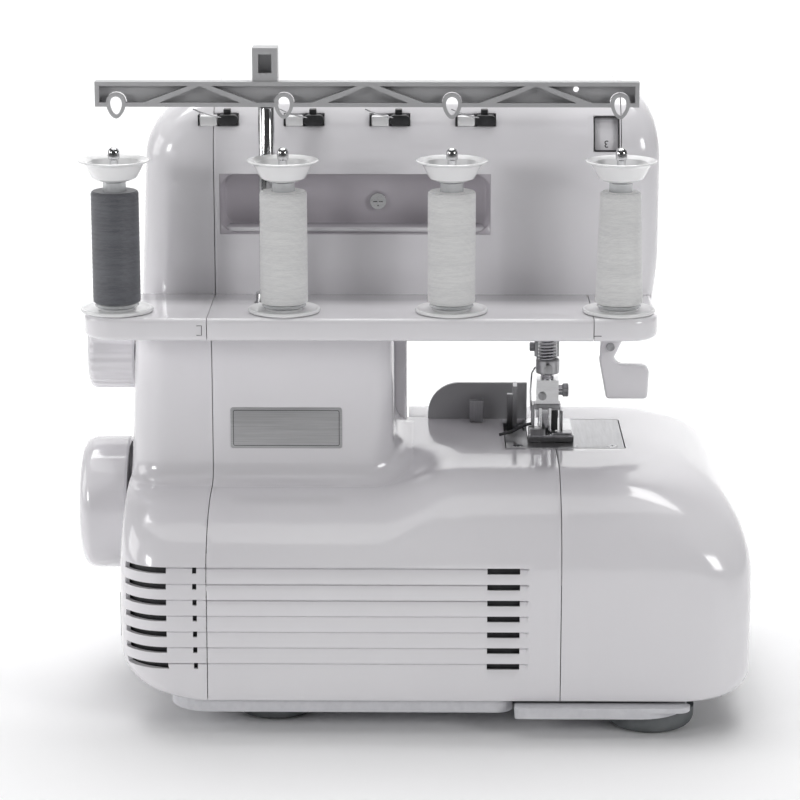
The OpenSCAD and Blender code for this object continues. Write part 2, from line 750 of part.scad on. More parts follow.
// Each section keeps this length inside the one below when it is pulled right out
pole_hold = 28.7;
pole_wall = 0.6;
pole_top = z_bar - 1;
z_pole_in = pole_top - pole_travel - pole_hold;
module pole_outer() {
  color(steel) difference() {
    rod_z(shelf_z + 1, pole_top, x_pole, y_pole, pole_r);
    rod_z(shelf_z, pole_top + 1, x_pole, y_pole, pole_r - pole_wall);
  }
}

module pole_middle() {
  color(steel) difference() {
    rod_z(z_pole_in, pole_top, x_pole, y_pole, pole_r - pole_wall - run);
    rod_z(z_pole_in - 1, pole_top + 1, x_pole, y_pole, pole_r - 2 * pole_wall);
  }
}

// Heart-shaped eye that the thread is drawn through, closed at the bottom
eye_out = [4.6, 6.2];
eye_in = [2.8, 4.4];
function eye_points(size) =
  [for (i = [0:19]) let (a = i * 18) [size[0] * cos(a) * (1 - 0.25 * sin(-a)), size[1] * sin(a)]];

// Guide bar: a ribbed rail with four eyes, the top rod and its holder in one
module thread_guide_bar() {
  x0 = x_pin[3] - bar_over;
  x1 = x_pin[0] + bar_over + 1;
  y0 = y_pole + 1;
  y1 = y_pole + 8;
  zt = z_bar + bar_h;
  rib = 2;
  brace = 27;
  eye_t = 2.5;
  holder_h = 16;
  color(grey) {
    difference() {
      union() {
        box([x0, x1], [y0, y0 + rib], [z_bar, zt]);
        box([x0, x1], [y0, y1], [z_bar, z_bar + rib]);
        box([x0, x1], [y0, y1], [zt - rib, zt]);
        box([x0, x0 + rib], [y0, y1], [z_bar, zt]);
        box([x1 - rib, x1], [y0, y1], [z_bar, zt]);
        for (i = [0:2]) {
          xm = x_pin[i] - pin_pitch / 2;
          for (s = [-1, 1]) along_y(y0, y1) polygon([
            [xm, zt - rib], [xm, zt], [xm + s * brace, z_bar + rib], [xm + s * brace, z_bar],
            [xm + s * (brace - 3), z_bar]]);
        }
      }
      for (x = x_pin) translate([x, y1 + 1, z_bar + 0.5]) rotate([90, 0, 0])
        linear_extrude(y1 - y0 + 2) polygon(eye_points(eye_out));
      rod_y(y0 - 1, y1 + 1, x_pin[3] + 21, zt - 4, 1.4);
    }
    for (x = x_pin) translate([x, y1, z_bar + 0.5]) rotate([90, 0, 0]) linear_extrude(eye_t)
      difference() {
        polygon(eye_points(eye_out));
        polygon(eye_points(eye_in));
      }
    difference() {
      box([x_pole - 6, x_pole + 6], [y_pole - 5, y0 + e], [z_bar, zt + holder_h]);
      box([x_pole - 3.2, x_pole + 3.2], [y_pole + 2.6, y_pole + 6], [zt + 4, zt + 13]);
    }
    difference() {
      box([x_pole - 6, x_pole + 6], [y0, y1 - 1], [zt - e, zt + holder_h]);
      box([x_pole - 3.2, x_pole + 3.2], [y0 - 1, y1 + 1], [zt + 4, zt + 13]);
    }
  }
  color(steel) rod_z(z_pole_in + 2, z_bar + 1, x_pole, y_pole, pole_r - 2 * pole_wall - run);
}

// Steel plate with slots for the needles, the feed dogs and the knife
module needle_plate() {
  color(steel) difference() {
    box([plate_x0, plate_x1], [plate_y0, plate_y1], [bed_h - plate_t, bed_h]);
    box([x_needle - 4, x_needle + 4], [y_needle - 3, y_needle + 3], [bed_h - 5, bed_h + 1]);
    for (s = [-1, 1]) box([x_needle + s * 6 - 2.5, x_needle + s * 6 + 2.5], [y_needle + 4, y_needle + 28],
      [bed_h - 5, bed_h + 1]);
    box([x_needle + 11, plate_x1 + 1], [plate_y0 - 1, y_needle + 4], [bed_h - 5, bed_h + 1]);
    for (x = [plate_x0 + 6, plate_x1 - 6]) {
      rod_z(bed_h - 5, bed_h + 1, x, plate_y1 - 5, 1.5);
      rod_z(bed_h - 2.5, bed_h + 1, x, plate_y1 - 5, 2.5);
    }
  }
}

// Fixed lower knife, clamped under the needle plate
module lower_knife() {
  color(steel) {
    box([x_needle + 12, x_needle + 14], [y_needle - 12, y_needle + 2], [bed_h - 14, bed_h - 0.5]);
    box([x_needle + 7, x_needle + 12 + e], [y_needle - 10, y_needle - 4], [bed_h - 10, bed_h - plate_t]);
  }
}

module motor() {
  color(dark) difference() {
    union() {
      rod_x(x_col + 22 + 12, x_side - 6, y_motor, z_motor, motor_r);
      box([x_col + 42, x_side - 14], [y_motor - 14, y_motor + 14], [z_cover + 5, z_motor - 8]);
    }
    rod_x(x_col + 30, x_side, y_motor, z_motor, 3 + run);
  }
}

module motor_shaft() {
  color(steel) rod_x(x_col + 36, x_pulley + pulley_w + 2, y_motor, z_motor, 3);
}

module motor_pulley() {
  color(dark) difference() {
    rod_x(x_pulley, x_pulley + pulley_w, y_motor, z_motor, small_pulley_r);
    rod_x(x_pulley - 1, x_pulley + pulley_w + 1, y_motor, z_motor, 3);
  }
}

module machine_pulley() {
  color(dark) difference() {
    rod_x(x_pulley, x_pulley + pulley_w, y_shaft, z_shaft, big_pulley_r);
    rod_x(x_pulley - 1, x_pulley + pulley_w + 1, y_shaft, z_shaft, shaft_r);
    for (a = [0:60:300])
      rod_x(x_pulley - 1, x_pulley + pulley_w + 1, y_shaft + 17 * cos(a), z_shaft + 17 * sin(a), 5);
  }
}

// Flat ribbed belt round both pulleys, outside them by a small gap
module drive_belt() {
  gap = 0.15;
  belt_t = 2;
  color(dark) difference() {
    along_x(x_pulley + 1, x_pulley + pulley_w - 1) belt_loop(gap + belt_t);
    along_x(x_pulley, x_pulley + pulley_w) belt_loop(gap);
  }
}

// Two circles joined by their outer tangents, grown by g
module belt_loop(g) {
  d = [y_motor - y_shaft, z_motor - z_shaft];
  len = norm(d);
  tilt = atan2(d[1], d[0]);
  lean = acos((big_pulley_r - small_pulley_r) / len);
  big = big_pulley_r + g;
  small = small_pulley_r + g;
  polygon(concat(
    arc([y_shaft, z_shaft], big, tilt + lean, tilt + 360 - lean, 40),
    arc([y_motor, z_motor], small, tilt - lean, tilt + lean, 16)));
}

module shaft_bushes() {
  color([0.72, 0.55, 0.3]) for (x = [x_side - 12, x_shaft_l + 10]) difference() {
    rod_x(x, x + 8, y_shaft, z_shaft, shaft_r + 3);
    rod_x(x - 1, x + 9, y_shaft, z_shaft, shaft_r + run);
  }
}

// Main shaft, with the eccentric of the needle rod turned on it
module main_shaft() {
  color(steel) {
    rod_x(x_shaft_l, x_right + wheel_out - 8, y_shaft, z_shaft, shaft_r);
    rod_x(x_rod - 4, x_rod + 4, y_shaft, z_shaft + 4, shaft_r + 5);
  }
}

// Handwheel: a deep cup with a rounded rim and a hub on the shaft
module handwheel() {
  out = wheel_out - 1;
  color(white) translate([x_right + 1, y_shaft, z_shaft]) rotate([0, 90, 0]) difference() {
    rotate_extrude($fn = fine) polygon(concat(
      [[0, 0], [wheel_r - 1, 0], [wheel_r, 2]],
      arc([wheel_r - 7, out - 9], 7, 0, 80, 8), [[wheel_r - 14, out - 0.8], [0, out]]));
    translate([0, 0, -1]) difference() {
      cylinder(r = wheel_r - 4, h = out - 5, $fn = fine);
      cylinder(r = shaft_r + 5, h = out, $fn = fine);
    }
    translate([0, 0, -1]) cylinder(r = shaft_r, h = wheel_out - 8, $fn = fine);
  }
}

module needle_bar() {
  color(steel) rod_z(needle_tip + 34, z_beam_top + 42, x_needle, y_needle, bar_r);
}

module needle_clamp() {
  color(steel) difference() {
    union() {
      box([x_needle - 5, x_needle + 5], [y_needle - 4.5, y_needle + 4.5], [needle_tip + 29, needle_tip + 42]);
      for (s = [-1, 1])
        rod_y(y_needle - 8, y_needle - 4.4, x_needle + s * 2.4, needle_tip + 33, 1.6);
    }
    rod_z(needle_tip + 34, needle_tip + 43, x_needle, y_needle, bar_r);
    for (s = [-1, 1]) rod_z(needle_tip + 28, needle_tip + 33, x_needle + s * 1.8, y_needle, 1);
  }
}

module needles() {
  color(steel) for (s = [-1, 1]) {
    rod_z(needle_tip + 14, needle_tip + 33, x_needle + s * 1.8, y_needle, 1);
    translate([x_needle + s * 1.8, y_needle, needle_tip])
      cylinder(r1 = 0.15, r2 = 0.5, h = 14 + e, $fn = 24);
  }
}

// Walking beam in the arm that drives the needle bar; its end runs beside the bar
module needle_lever() {
  color(steel) difference() {
    union() {
      along_y(y_lever[0], y_lever[1]) polygon([
        [x_needle - 4, z_lever - 3], [x_lever, z_lever - 8], [x_rod + 4, z_lever - 3],
        [x_rod + 4, z_lever + 3], [x_lever, z_lever + 8], [x_needle - 4, z_lever + 3]]);
      rod_y(y_lever[0], y_lever[1], x_lever, z_lever, 8);
    }
    rod_y(y_lever[0] - 1, y_lever[1] + 1, x_lever, z_lever, lever_pin_r + run);
  }
}

// Rod between the eccentric and the needle lever, shown parted from both
module needle_rod() {
  y0 = y_lever[1] + 0.8;
  color(steel) along_x(x_rod - 3, x_rod + 3) polygon([
    [y0, z_lever + 5], [y0, z_lever - 8], [y_shaft - 5, z_shaft + 19], [y_shaft + 5, z_shaft + 19],
    [y0 + 6, z_lever - 8], [y0 + 5, z_lever + 5]]);
}

// Lower looper: a hooked arm that swings under the needle plate
module lower_looper() {
  y0 = y_needle - 8.5;
  color(steel) difference() {
    union() {
      rod_y(y0, y0 + 4.5, x_lower, z_lower, 5);
      box([x_lower - 2.5, x_lower + 2.5], [y0 + 1, y0 + 4], [z_lower, z_lower + 28]);
      along_y(y0 + 1.5, y0 + 3.5)
        polygon([[x_lower + 2.5, z_lower + 26], [x_lower + 2.5, z_lower + 30],
                 [x_lower - 26, z_lower + 33], [x_lower - 20, z_lower + 29], [x_lower - 2, z_lower + 25]]);
    }
    rod_y(y0 - 1, y0 + 6, x_lower, z_lower, looper_pin_r + run);
  }
}

// Upper looper: a curved finger in its own plane, in front of the lower one
module upper_looper() {
  y0 = y_needle - 22.5;
  color(steel) difference() {
    union() {
      rod_y(y0, y0 + 5, x_upper, z_upper, 5);
      box([x_upper - 3, x_upper + 2], [y0 + 0.5, y0 + 4], [z_upper, z_upper + 26]);
      along_y(y0 + 1, y0 + 3)
        polygon([[x_upper + 2, z_upper + 24], [x_upper + 1, z_upper + 30],
                 [x_upper - 26, z_upper + 40], [x_upper - 24, z_upper + 36], [x_upper - 4, z_upper + 24]]);
    }
    rod_y(y0 - 1, y0 + 6, x_upper, z_upper, looper_pin_r + run);
  }
}

// Upper knife on its holder, which slides on a pin beside the presser foot
module upper_knife() {
  z0 = bed_h - 26;
  color(steel) difference() {
    union() {
      box([x_needle + 14.6, x_needle + 16.6 + e], [y_needle - 12, y_needle - 1], [bed_h + 1, bed_h + 22]);
      box([x_needle + 16.6, x_needle + 19.5], [y_needle - 12, y_needle - 8.8], [z0, bed_h + 16]);
      rod_z(z0, z0 + 14, x_knife_pin, y_knife_pin, 4);
    }
    rod_z(z0 - 1, z0 + 15, x_knife_pin, y_knife_pin, looper_pin_r + run);
  }
}

// Two toothed bars on one carrier
module feed_dogs() {
  tooth_pitch = 2.2;
  color(steel) {
    box([x_needle - 9, x_needle + 9], [y_needle + 8, y_needle + 24], [bed_h - 12, bed_h - 7]);
    for (s = [-1, 1]) {
      x = [x_needle + s * 6 - 1.7, x_needle + s * 6 + 1.7];
      box(x, [y_needle + 7, y_needle + 25], [bed_h - 7.5, bed_h - 1.2]);
      for (i = [0:7]) along_x(x[0], x[1]) let (y = y_needle + 7.5 + i * tooth_pitch)
        polygon([[y, bed_h - 1.3], [y + 1.8, bed_h - 1.3], [y + 1.8, bed_h - 0.3]]);
    }
  }
}

foot_z = bed_h + 0.3;
module presser_bar() {
  color(steel) rod_z(foot_z + 20, beam_z + beam_h + 12, x_needle, y_presser, bar_r);
}

// Presser foot: ankle on the bar, long sole with a slot for the needles
module presser_foot() {
  toe_h = 3.4;
  color(steel) difference() {
    union() {
      box([x_needle - 5.5, x_needle + 5.5], [y_presser - 5, y_presser + 5], [foot_z + 11, foot_z + 30]);
      box([x_needle - 4, x_needle + 4], [y_presser - 6, y_presser + 4], [foot_z + 1.8 - e, foot_z + 11 + e]);
      box([x_needle - 13, x_needle + 10], [y_needle - 14, y_presser + 12], [foot_z, foot_z + 1.8]);
      box([x_needle - 13, x_needle + 10], [y_presser + 10, y_presser + 12], [foot_z, foot_z + toe_h]);
      rod_x(x_needle - 10, x_needle - 5.4, y_presser, foot_z + 24, 2.6);
    }
    rod_z(foot_z + 20, foot_z + 31, x_needle, y_presser, bar_r);
    box([x_needle - 4, x_needle + 4], [y_needle - 4, y_needle + 4], [foot_z - 1, foot_z + 3]);
  }
}

// Lifter lever with its finger paddle
module lifter_lever() {
  xp = x_needle - 31;
  zp = z_arm - 8;
  color(white) difference() {
    union() {
      rod_y(y_presser, y_presser + 6, xp, zp, 5);
      along_y(y_presser, y_presser + 6) polygon(concat(
        [[xp + 4, zp], [xp - 3.5, zp], [xp - 3.5, zp - 10]],
        arc([xp - 12, zp - 9.5], 5, 300, 270, 3),
        arc([xp - 16, zp - 18], 3.5, 90, 180, 4),
        [[xp - 20, zp - 27], [xp + 1, zp - 27], [xp + 1.5, zp - 20]]));
    }
    rod_y(y_presser - 1, y_presser + 7, xp, zp, 2 + run);
  }
}

// Drum dial with a knurled rim, turning on the tension axle
module tension_dial(i) {
  color(grey) difference() {
    rod_x(x_dial[i] - dial_w / 2, x_dial[i] + dial_w / 2, y_dial, z_dial, tension_r);
    rod_x(x_dial[i] - dial_w, x_dial[i] + dial_w, y_dial, z_dial, axle_r + run);
    for (a = [0:20:340]) rod_x(x_dial[i] - dial_w, x_dial[i] + dial_w,
      y_dial + (tension_r + 0.3) * cos(a), z_dial + (tension_r + 0.3) * sin(a), 0.8);
  }
}

module tension_axle() {
  color(steel) rod_x(x_dial[3] - 11, x_dial[0] + dial_w / 2 + 1, y_dial, z_dial, axle_r);
}

// Knob with a rounded rim and a hub through the side cover
module length_dial() {
  thick = x_len_out - x_right + 2;
  color(white) translate([x_right - 2, y_len_dial, z_len_dial]) rotate([0, 90, 0]) {
    translate([0, 0, -8]) cylinder(r = 5, h = 9, $fn = fine);
    rotate_extrude($fn = fine) polygon(concat(
      [[0, 0], [length_dial_r, 0]], arc([length_dial_r - 6, thick - 6], 6, 0, 90, 6), [[0, thick]]));
  }
}

module differential_dial() {
  color(white) translate([x_right + 1, y_diff_dial, z_diff_dial]) rotate([0, 90, 0]) {
    translate([0, 0, -8]) cylinder(r = 4.5, h = 9, $fn = fine);
    cylinder(r = 13, h = 9, $fn = fine);
  }
}

module pressure_dial() {
  color(white) difference() {
    rod_x(x_press_dial, x_press_dial + 12, y_press_dial, z_press_dial, arm_top_r - 3);
    rod_x(x_press_dial - 1, x_press_dial + 13, y_press_dial, z_press_dial, 4 + run);
    rod_x(x_press_dial + 2, x_press_dial + 13, y_press_dial, z_press_dial, arm_top_r - 7);
  }
}

// Curved guard beside the needle plate, with its mounting foot under the bed
module looper_guard() {
  x0 = plate_x1 + 3 - 15;
  x1 = x_col - 17;
  color(grey) along_y(y_loop + 1, y_loop + 3.4) polygon(concat(
    [[x0, bed_h], [x1, bed_h]], arc([x1 - 16, bed_h + 3], 16, 0, 90, 8), [[x0, bed_h + 19]]));
}

module rolled_hem_lever() {
  color(steel) {
    box([x_hem - 1.2, x_hem + 1.2], [y_hem - 1, y_hem + 1], [bed_h - 6, bed_h + 1]);
    box([x_hem - 3.5, x_hem + 3.5], [y_hem - 2.5, y_hem + 2.5], [bed_h + 0.5, bed_h + 11.5]);
  }
}

module work_lamp() {
  lamp_t = 5;
  color([0.95, 0.95, 0.85])
    box([x_needle + 16, x_needle + 34], [y_needle - 14, y_needle + 6], [z_arm - lamp_t, z_arm]);
}

// Block with the recessed power inlet and the frame of the switch
module power_inlet() {
  color(dark) difference() {
    box([x_right - 18, x_right + 0.5], y_power, z_power);
    box([x_right - 12, x_right + 1], y_socket, [z_power[0] + 4, z_power[1] - 4]);
    box([x_right - 14, x_right + 1], y_switch, [z_power[0] + 2, z_power[1] - 2]);
  }
}

module switch_rocker() {
  h = 7.6;
  color(dark) translate([x_rock, 0, z_rock]) rotate([0, rock_tilt, 0])
    along_y(y_switch[0] + play, y_switch[1] - play)
      polygon([[-4, -4], [5.5, -h], [5, 0], [5.5, h], [-4, 4]]);
}

bottom_pan();
free_arm_tray();
rubber_feet();
screws();
main_frame();
rear_cover();
side_cover();
front_panel();
face_cover();
rating_label();
guide_blocks();
guide_springs();
spool_pins();
spool_discs();
spool_caps();
pole_base();
pole_outer();
needle_plate();
lower_knife();
motor();
drive_belt();
shaft_bushes();
power_inlet();
work_lamp();
looper_guard();
tension_axle();
handwheel();
main_shaft();
machine_pulley();
motor_shaft();
motor_pulley();
needle_bar();
needle_clamp();
needles();
needle_lever();
needle_rod();
upper_looper();
lower_looper();
upper_knife();
feed_dogs();
presser_bar();
presser_foot();
lifter_lever();
tension_dial(0);  // tension_dial_1
tension_dial(1);  // tension_dial_2
tension_dial(2);  // tension_dial_3
tension_dial(3);  // tension_dial_4
length_dial();
differential_dial();
pressure_dial();
looper_cover();
work_table();
pole_middle();
thread_guide_bar();
switch_rocker();
rolled_hem_lever();
thread_spool(0);  // thread_spool_1
thread_spool(1);  // thread_spool_2
thread_spool(2);  // thread_spool_3
thread_spool(3);  // thread_spool_4
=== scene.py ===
"""An overlock machine seen from behind: white glossy covers, a spool shelf, four spools and a guide bar.

Lengths are in millimetres until a mesh is made. +X is the handwheel side, +Y the back, +Z up.
"""

import json
import math

import bmesh
import bpy
import numpy as np
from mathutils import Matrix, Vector


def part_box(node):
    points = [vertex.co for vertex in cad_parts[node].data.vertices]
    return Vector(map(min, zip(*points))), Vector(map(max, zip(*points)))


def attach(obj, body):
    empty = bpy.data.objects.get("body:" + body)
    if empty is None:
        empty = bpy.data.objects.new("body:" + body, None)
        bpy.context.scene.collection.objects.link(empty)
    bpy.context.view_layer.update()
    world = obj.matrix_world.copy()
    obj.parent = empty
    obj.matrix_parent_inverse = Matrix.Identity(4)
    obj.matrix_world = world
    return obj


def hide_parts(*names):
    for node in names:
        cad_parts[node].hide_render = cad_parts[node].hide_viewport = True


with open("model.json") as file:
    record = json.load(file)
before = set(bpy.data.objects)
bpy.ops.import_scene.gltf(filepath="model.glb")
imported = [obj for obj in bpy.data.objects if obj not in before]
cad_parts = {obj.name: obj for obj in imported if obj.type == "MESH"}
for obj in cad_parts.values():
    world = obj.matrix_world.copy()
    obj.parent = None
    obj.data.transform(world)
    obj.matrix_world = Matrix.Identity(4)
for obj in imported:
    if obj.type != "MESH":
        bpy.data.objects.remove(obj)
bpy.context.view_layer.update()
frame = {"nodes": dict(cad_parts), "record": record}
scene = bpy.context.scene
MM = 0.001


def box_mm(node):
    """Lowest and highest corner of a CAD node, in millimetres."""
    low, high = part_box(node)
    return np.array(low) / MM, np.array(high) / MM


# ---------------------------------------------------------------- sizes

SIDE_LO, SIDE_HI = box_mm("side_cover")
TABLE_LO, TABLE_HI = box_mm("work_table")
WHEEL_LO, WHEEL_HI = box_mm("handwheel")
DISC_LO, DISC_HI = box_mm("spool_discs")
PLATE_LO, PLATE_HI = box_mm("needle_plate")
LABEL_LO, LABEL_HI = box_mm("rating_label")
POLE_LO, POLE_HI = box_mm("pole_outer")
LOOPER_LO, LOOPER_HI = box_mm("looper_cover")

WALL = 2.2
GAP = 0.4
X_SEAM = SIDE_LO[0]
X_HOUSE = WHEEL_LO[0] - 1
X_TABLE = TABLE_HI[0]
X_FREE = TABLE_LO[0]
Y_REAR = TABLE_HI[1]
Y_FRONT = TABLE_LO[1]
Z_SILL = TABLE_LO[2]
Z_BED = TABLE_HI[2]
Z_TOP = SIDE_HI[2]

SHOULDER = 45.0
SHOULDER_Z = Z_BED - SHOULDER
LOW_DEPTH = 48.0
LOW_RISE = 33.0
FILLET = 10.0
FRONT_R = 20.0

X_COLUMN = LABEL_LO[0] - 25
Y_COLUMN = LABEL_LO[1]
Y_ARM = Y_COLUMN - 30
ARM_BACK_R = 30.0
ARM_FRONT_R = 34.0
Z_ARM = Z_BED + 56
Y_PANEL = Y_FRONT + 50
X_FACE = X_TABLE - 30.1
X_FACE_END = X_FREE + 42

Z_SHELF_TOP = DISC_LO[2]
Z_SHELF = Z_SHELF_TOP - 11
Y_PIN = (DISC_LO[1] + DISC_HI[1]) / 2
Y_SHELF = Y_PIN + 18
X_SHELF_L = X_FACE_END + 4
X_SHELF_R = SIDE_HI[0]
X_SHELF_FACE = X_SHELF_L + 31

VENTS = SHOULDER_Z + 6 - 7.9 * np.arange(7)
VENT_H = 3.0
X_DIALS = X_SEAM - 2.5 - 42 * np.arange(4)
SPOOLS = [box_mm(f"thread_spool_{i}") for i in (1, 2, 3, 4)]
X_PINS = np.array([(low[0] + high[0]) / 2 for low, high in SPOOLS])

X_GRIP = (X_SEAM - 136, X_SEAM - 2.9)
Z_GRIP = (Z_TOP - 69, Z_TOP - 39)
WINDOW_Z = (Z_TOP - 16, Z_TOP - 10)
DIAL_Z = (Z_TOP - 28, Z_TOP - 11)
WINDOW_ARC = [math.degrees(math.asin((z - Z_TOP + ARM_BACK_R) / ARM_BACK_R)) for z in WINDOW_Z]
GRIP_DEEP = 17.0
DIAL_ARC = [math.degrees(math.asin((z - Z_TOP + ARM_BACK_R) / ARM_BACK_R)) for z in DIAL_Z]

# ---------------------------------------------------------------- shader maths


class Value:
    """A node's output. Sums, differences and products of values add their Math nodes."""

    def __init__(self, shade, socket):
        self.shade, self.socket = shade, socket

    def _math(self, operation, first, second):
        return self.shade.node("ShaderNodeMath", {"operation": operation}, {0: first, 1: second})

    def __add__(self, other):
        return self._math("ADD", self, other)

    def __radd__(self, other):
        return self._math("ADD", other, self)

    def __sub__(self, other):
        return self._math("SUBTRACT", self, other)

    def __rsub__(self, other):
        return self._math("SUBTRACT", other, self)

    def __mul__(self, other):
        return self._math("MULTIPLY", self, other)

    def __rmul__(self, other):
        return self._math("MULTIPLY", other, self)


class Shade:
    """A material under construction, with its Principled shader."""

    def __init__(self, name):
        self.material = bpy.data.materials.new(name)
        self.material.use_nodes = True
        self.tree = self.material.node_tree
        self.shader = self.tree.nodes["Principled BSDF"]
        self.place = self.node("ShaderNodeTexCoord", out="Object")

    def node(self, kind, settings=None, inputs=None, out=0):
        """Adds a node: its settings first, then its sockets' values or links."""
        made = self.tree.nodes.new(kind)
        for key, value in (settings or {}).items():
            if key == "stops":
                for element, (at, grey) in zip(made.color_ramp.elements, value):
                    element.position, element.color = at, (grey, grey, grey, 1)
            else:
                setattr(made, key, value)
        for key, value in (inputs or {}).items():
            self.feed(made.inputs[key], value)
        return Value(self, made.outputs[out])

    def feed(self, socket, value):
        if isinstance(value, Value):
            self.tree.links.new(value.socket, socket)
        else:
            socket.default_value = value

    def stretched(self, scale):
        return self.node("ShaderNodeMapping", None, {"Vector": self.place, "Scale": scale})

    def noise(self, scale, detail=2.0, where=None, rough=0.5):
        inputs = {"Vector": where or self.place, "Scale": scale, "Detail": detail, "Roughness": rough}
        return self.node("ShaderNodeTexNoise", None, inputs)

    def ramp(self, value, low, high):
        """0 below low, 1 above high, straight between them."""
        inputs = {"Value": value, "From Min": low, "From Max": high}
        return self.node("ShaderNodeMapRange", {"clamp": True}, inputs)

    def blend(self, factor, first, second):
        """Colour first where the factor is 0 and second where it is 1."""
        return self.node("ShaderNodeMix", {"data_type": "RGBA"}, {0: factor, 6: first, 7: second}, 2)

    def bump(self, height, distance_mm, strength=1.0):
        inputs = {"Height": height, "Distance": distance_mm * MM, "Strength": strength}
        return self.node("ShaderNodeBump", None, inputs)

    def set(self, **values):
        """Sets the shader's sockets; an underscore stands for a space in a socket's name."""
        for key, value in values.items():
            self.feed(self.shader.inputs[key.replace("_", " ")], value)
        return self.material


def tone(red, green, blue):
    return (red, green, blue, 1.0)


def moulded(name, colour, second, rough, coat, peel=0.012, grain=900.0):
    """Moulded plastic: slow drift between two shades, faint flow marks, and a fine skin that breaks up
    the gloss."""
    shade = Shade(name)
    drift = shade.noise(9.0, 2.0)
    flow = shade.noise(1.0, 3.0, shade.stretched((14.0, 14.0, 3.0)))
    skin = shade.noise(grain, 2.0)
    wave = shade.noise(60.0, 1.0)
    colour_here = shade.blend(shade.ramp(drift * 0.7 + flow * 0.3, 0.35, 0.65), colour, second)
    return shade.set(
        Base_Color=colour_here,
        Roughness=rough + 0.05 * (skin - 0.5) + 0.06 * (drift - 0.5),
        Coat_Weight=coat,
        Coat_Roughness=0.06,
        Normal=shade.bump(skin * 0.35 + wave * 0.65, peel),
    )


def grained(name, colour, second, rough):
    """Eroded plastic with a leather-like grain of small cells."""
    shade = Shade(name)
    cells = shade.node("ShaderNodeTexVoronoi", {"feature": "F1"},
                       {"Vector": shade.place, "Scale": 1400.0})
    dust = shade.noise(240.0, 3.0)
    return shade.set(
        Base_Color=shade.blend(shade.ramp(dust, 0.35, 0.7), colour, second),
        Roughness=rough + 0.15 * (dust - 0.5),
        Normal=shade.bump(cells, 0.05, 0.6),
    )


def metal(name, colour, second, rough, stretch, scratch):
    """Drawn or ground metal: long fine marks along one direction, small stains, and gloss that varies
    with both."""
    shade = Shade(name)
    lines = shade.noise(1.0, 3.0, shade.stretched(stretch), 0.7)
    stain = shade.noise(70.0, 3.0)
    return shade.set(
        Base_Color=shade.blend(shade.ramp(lines * 0.6 + stain * 0.4, 0.35, 0.65), colour, second),
        Metallic=1.0,
        Roughness=rough + 0.18 * (stain - 0.5) + 0.12 * (lines - 0.5),
        Normal=shade.bump(lines, scratch, 0.5),
    )


def cast(name, colour, second):
    """Sand-cast metal: pitted skin with lighter high spots."""
    shade = Shade(name)
    pits = shade.noise(420.0, 4.0, None, 0.65)
    drift = shade.noise(30.0, 2.0)
    return shade.set(
        Base_Color=shade.blend(shade.ramp(pits, 0.35, 0.65), colour, second),
        Metallic=0.85,
        Roughness=0.48 + 0.2 * (drift - 0.5),
        Normal=shade.bump(pits, 0.12, 0.7),
    )


def rubber(name, colour, second):
    """Rubber with chalky bloom and a dimpled skin."""
    shade = Shade(name)
    bloom = shade.noise(55.0, 4.0)
    skin = shade.noise(1500.0, 2.0)
    return shade.set(
        Base_Color=shade.blend(shade.ramp(bloom, 0.4, 0.7), colour, second),
        Roughness=0.72 + 0.18 * (bloom - 0.5),
        Normal=shade.bump(skin, 0.05, 0.6),
    )


def thread(name, dark, light, pitch):
    """Wound thread: turns across the height, crossed by slanting lays. Its colour is painted shade in the
    valleys between turns, mixed with random tone from the lays and bands."""
    shade = Shade(name)
    wobble = shade.noise(160.0, 2.0)
    turns = shade.node(
        "ShaderNodeTexWave",
        {"wave_type": "BANDS", "bands_direction": "Z"},
        {"Vector": shade.place, "Scale": 0.314 / (pitch * MM), "Distortion": 2.5, "Detail": 2.0,
         "Detail Scale": 3.0},
    )
    lays = shade.noise(1.0, 2.0, shade.stretched((90.0, 90.0, 900.0)), 0.6)
    bands = shade.noise(1.0, 1.0, shade.stretched((8.0, 8.0, 170.0)))
    # painted shade from the turns' valleys, plus random tone from the lays and bands
    valley_shade_and_tone = turns * 0.45 + lays * 0.35 + bands * 0.2
    return shade.set(
        Base_Color=shade.blend(shade.ramp(valley_shade_and_tone, 0.25, 0.72), dark, light),
        Roughness=0.5 + 0.2 * (wobble - 0.5),
        Sheen_Weight=0.25,
        Normal=shade.bump(turns * 0.6 + lays * 0.4, 0.14, 0.8),
    )


def clear_tube(name):
    """Clear plastic with faint cloud: light passes, the rim stays bright."""
    shade = Shade(name)
    cloud = shade.noise(120.0, 2.0)
    return shade.set(
        Base_Color=shade.blend(cloud, tone(0.78, 0.8, 0.82), tone(0.9, 0.91, 0.92)),
        Roughness=0.12 + 0.1 * cloud,
        Alpha=0.5 + 0.2 * cloud,
        Normal=shade.bump(cloud, 0.02),
    )


def foil(name):
    """Silver-grey foil with a fine horizontal brush."""
    shade = Shade(name)
    lines = shade.noise(1.0, 4.0, shade.stretched((40.0, 40.0, 2600.0)), 0.7)
    stain = shade.noise(45.0, 2.0)
    return shade.set(
        Base_Color=shade.blend(shade.ramp(lines, 0.35, 0.65), tone(0.42, 0.42, 0.43),
                               tone(0.52, 0.52, 0.53)),
        Metallic=0.55,
        Roughness=0.42 + 0.15 * (stain - 0.5),
        Normal=shade.bump(lines, 0.01),
    )


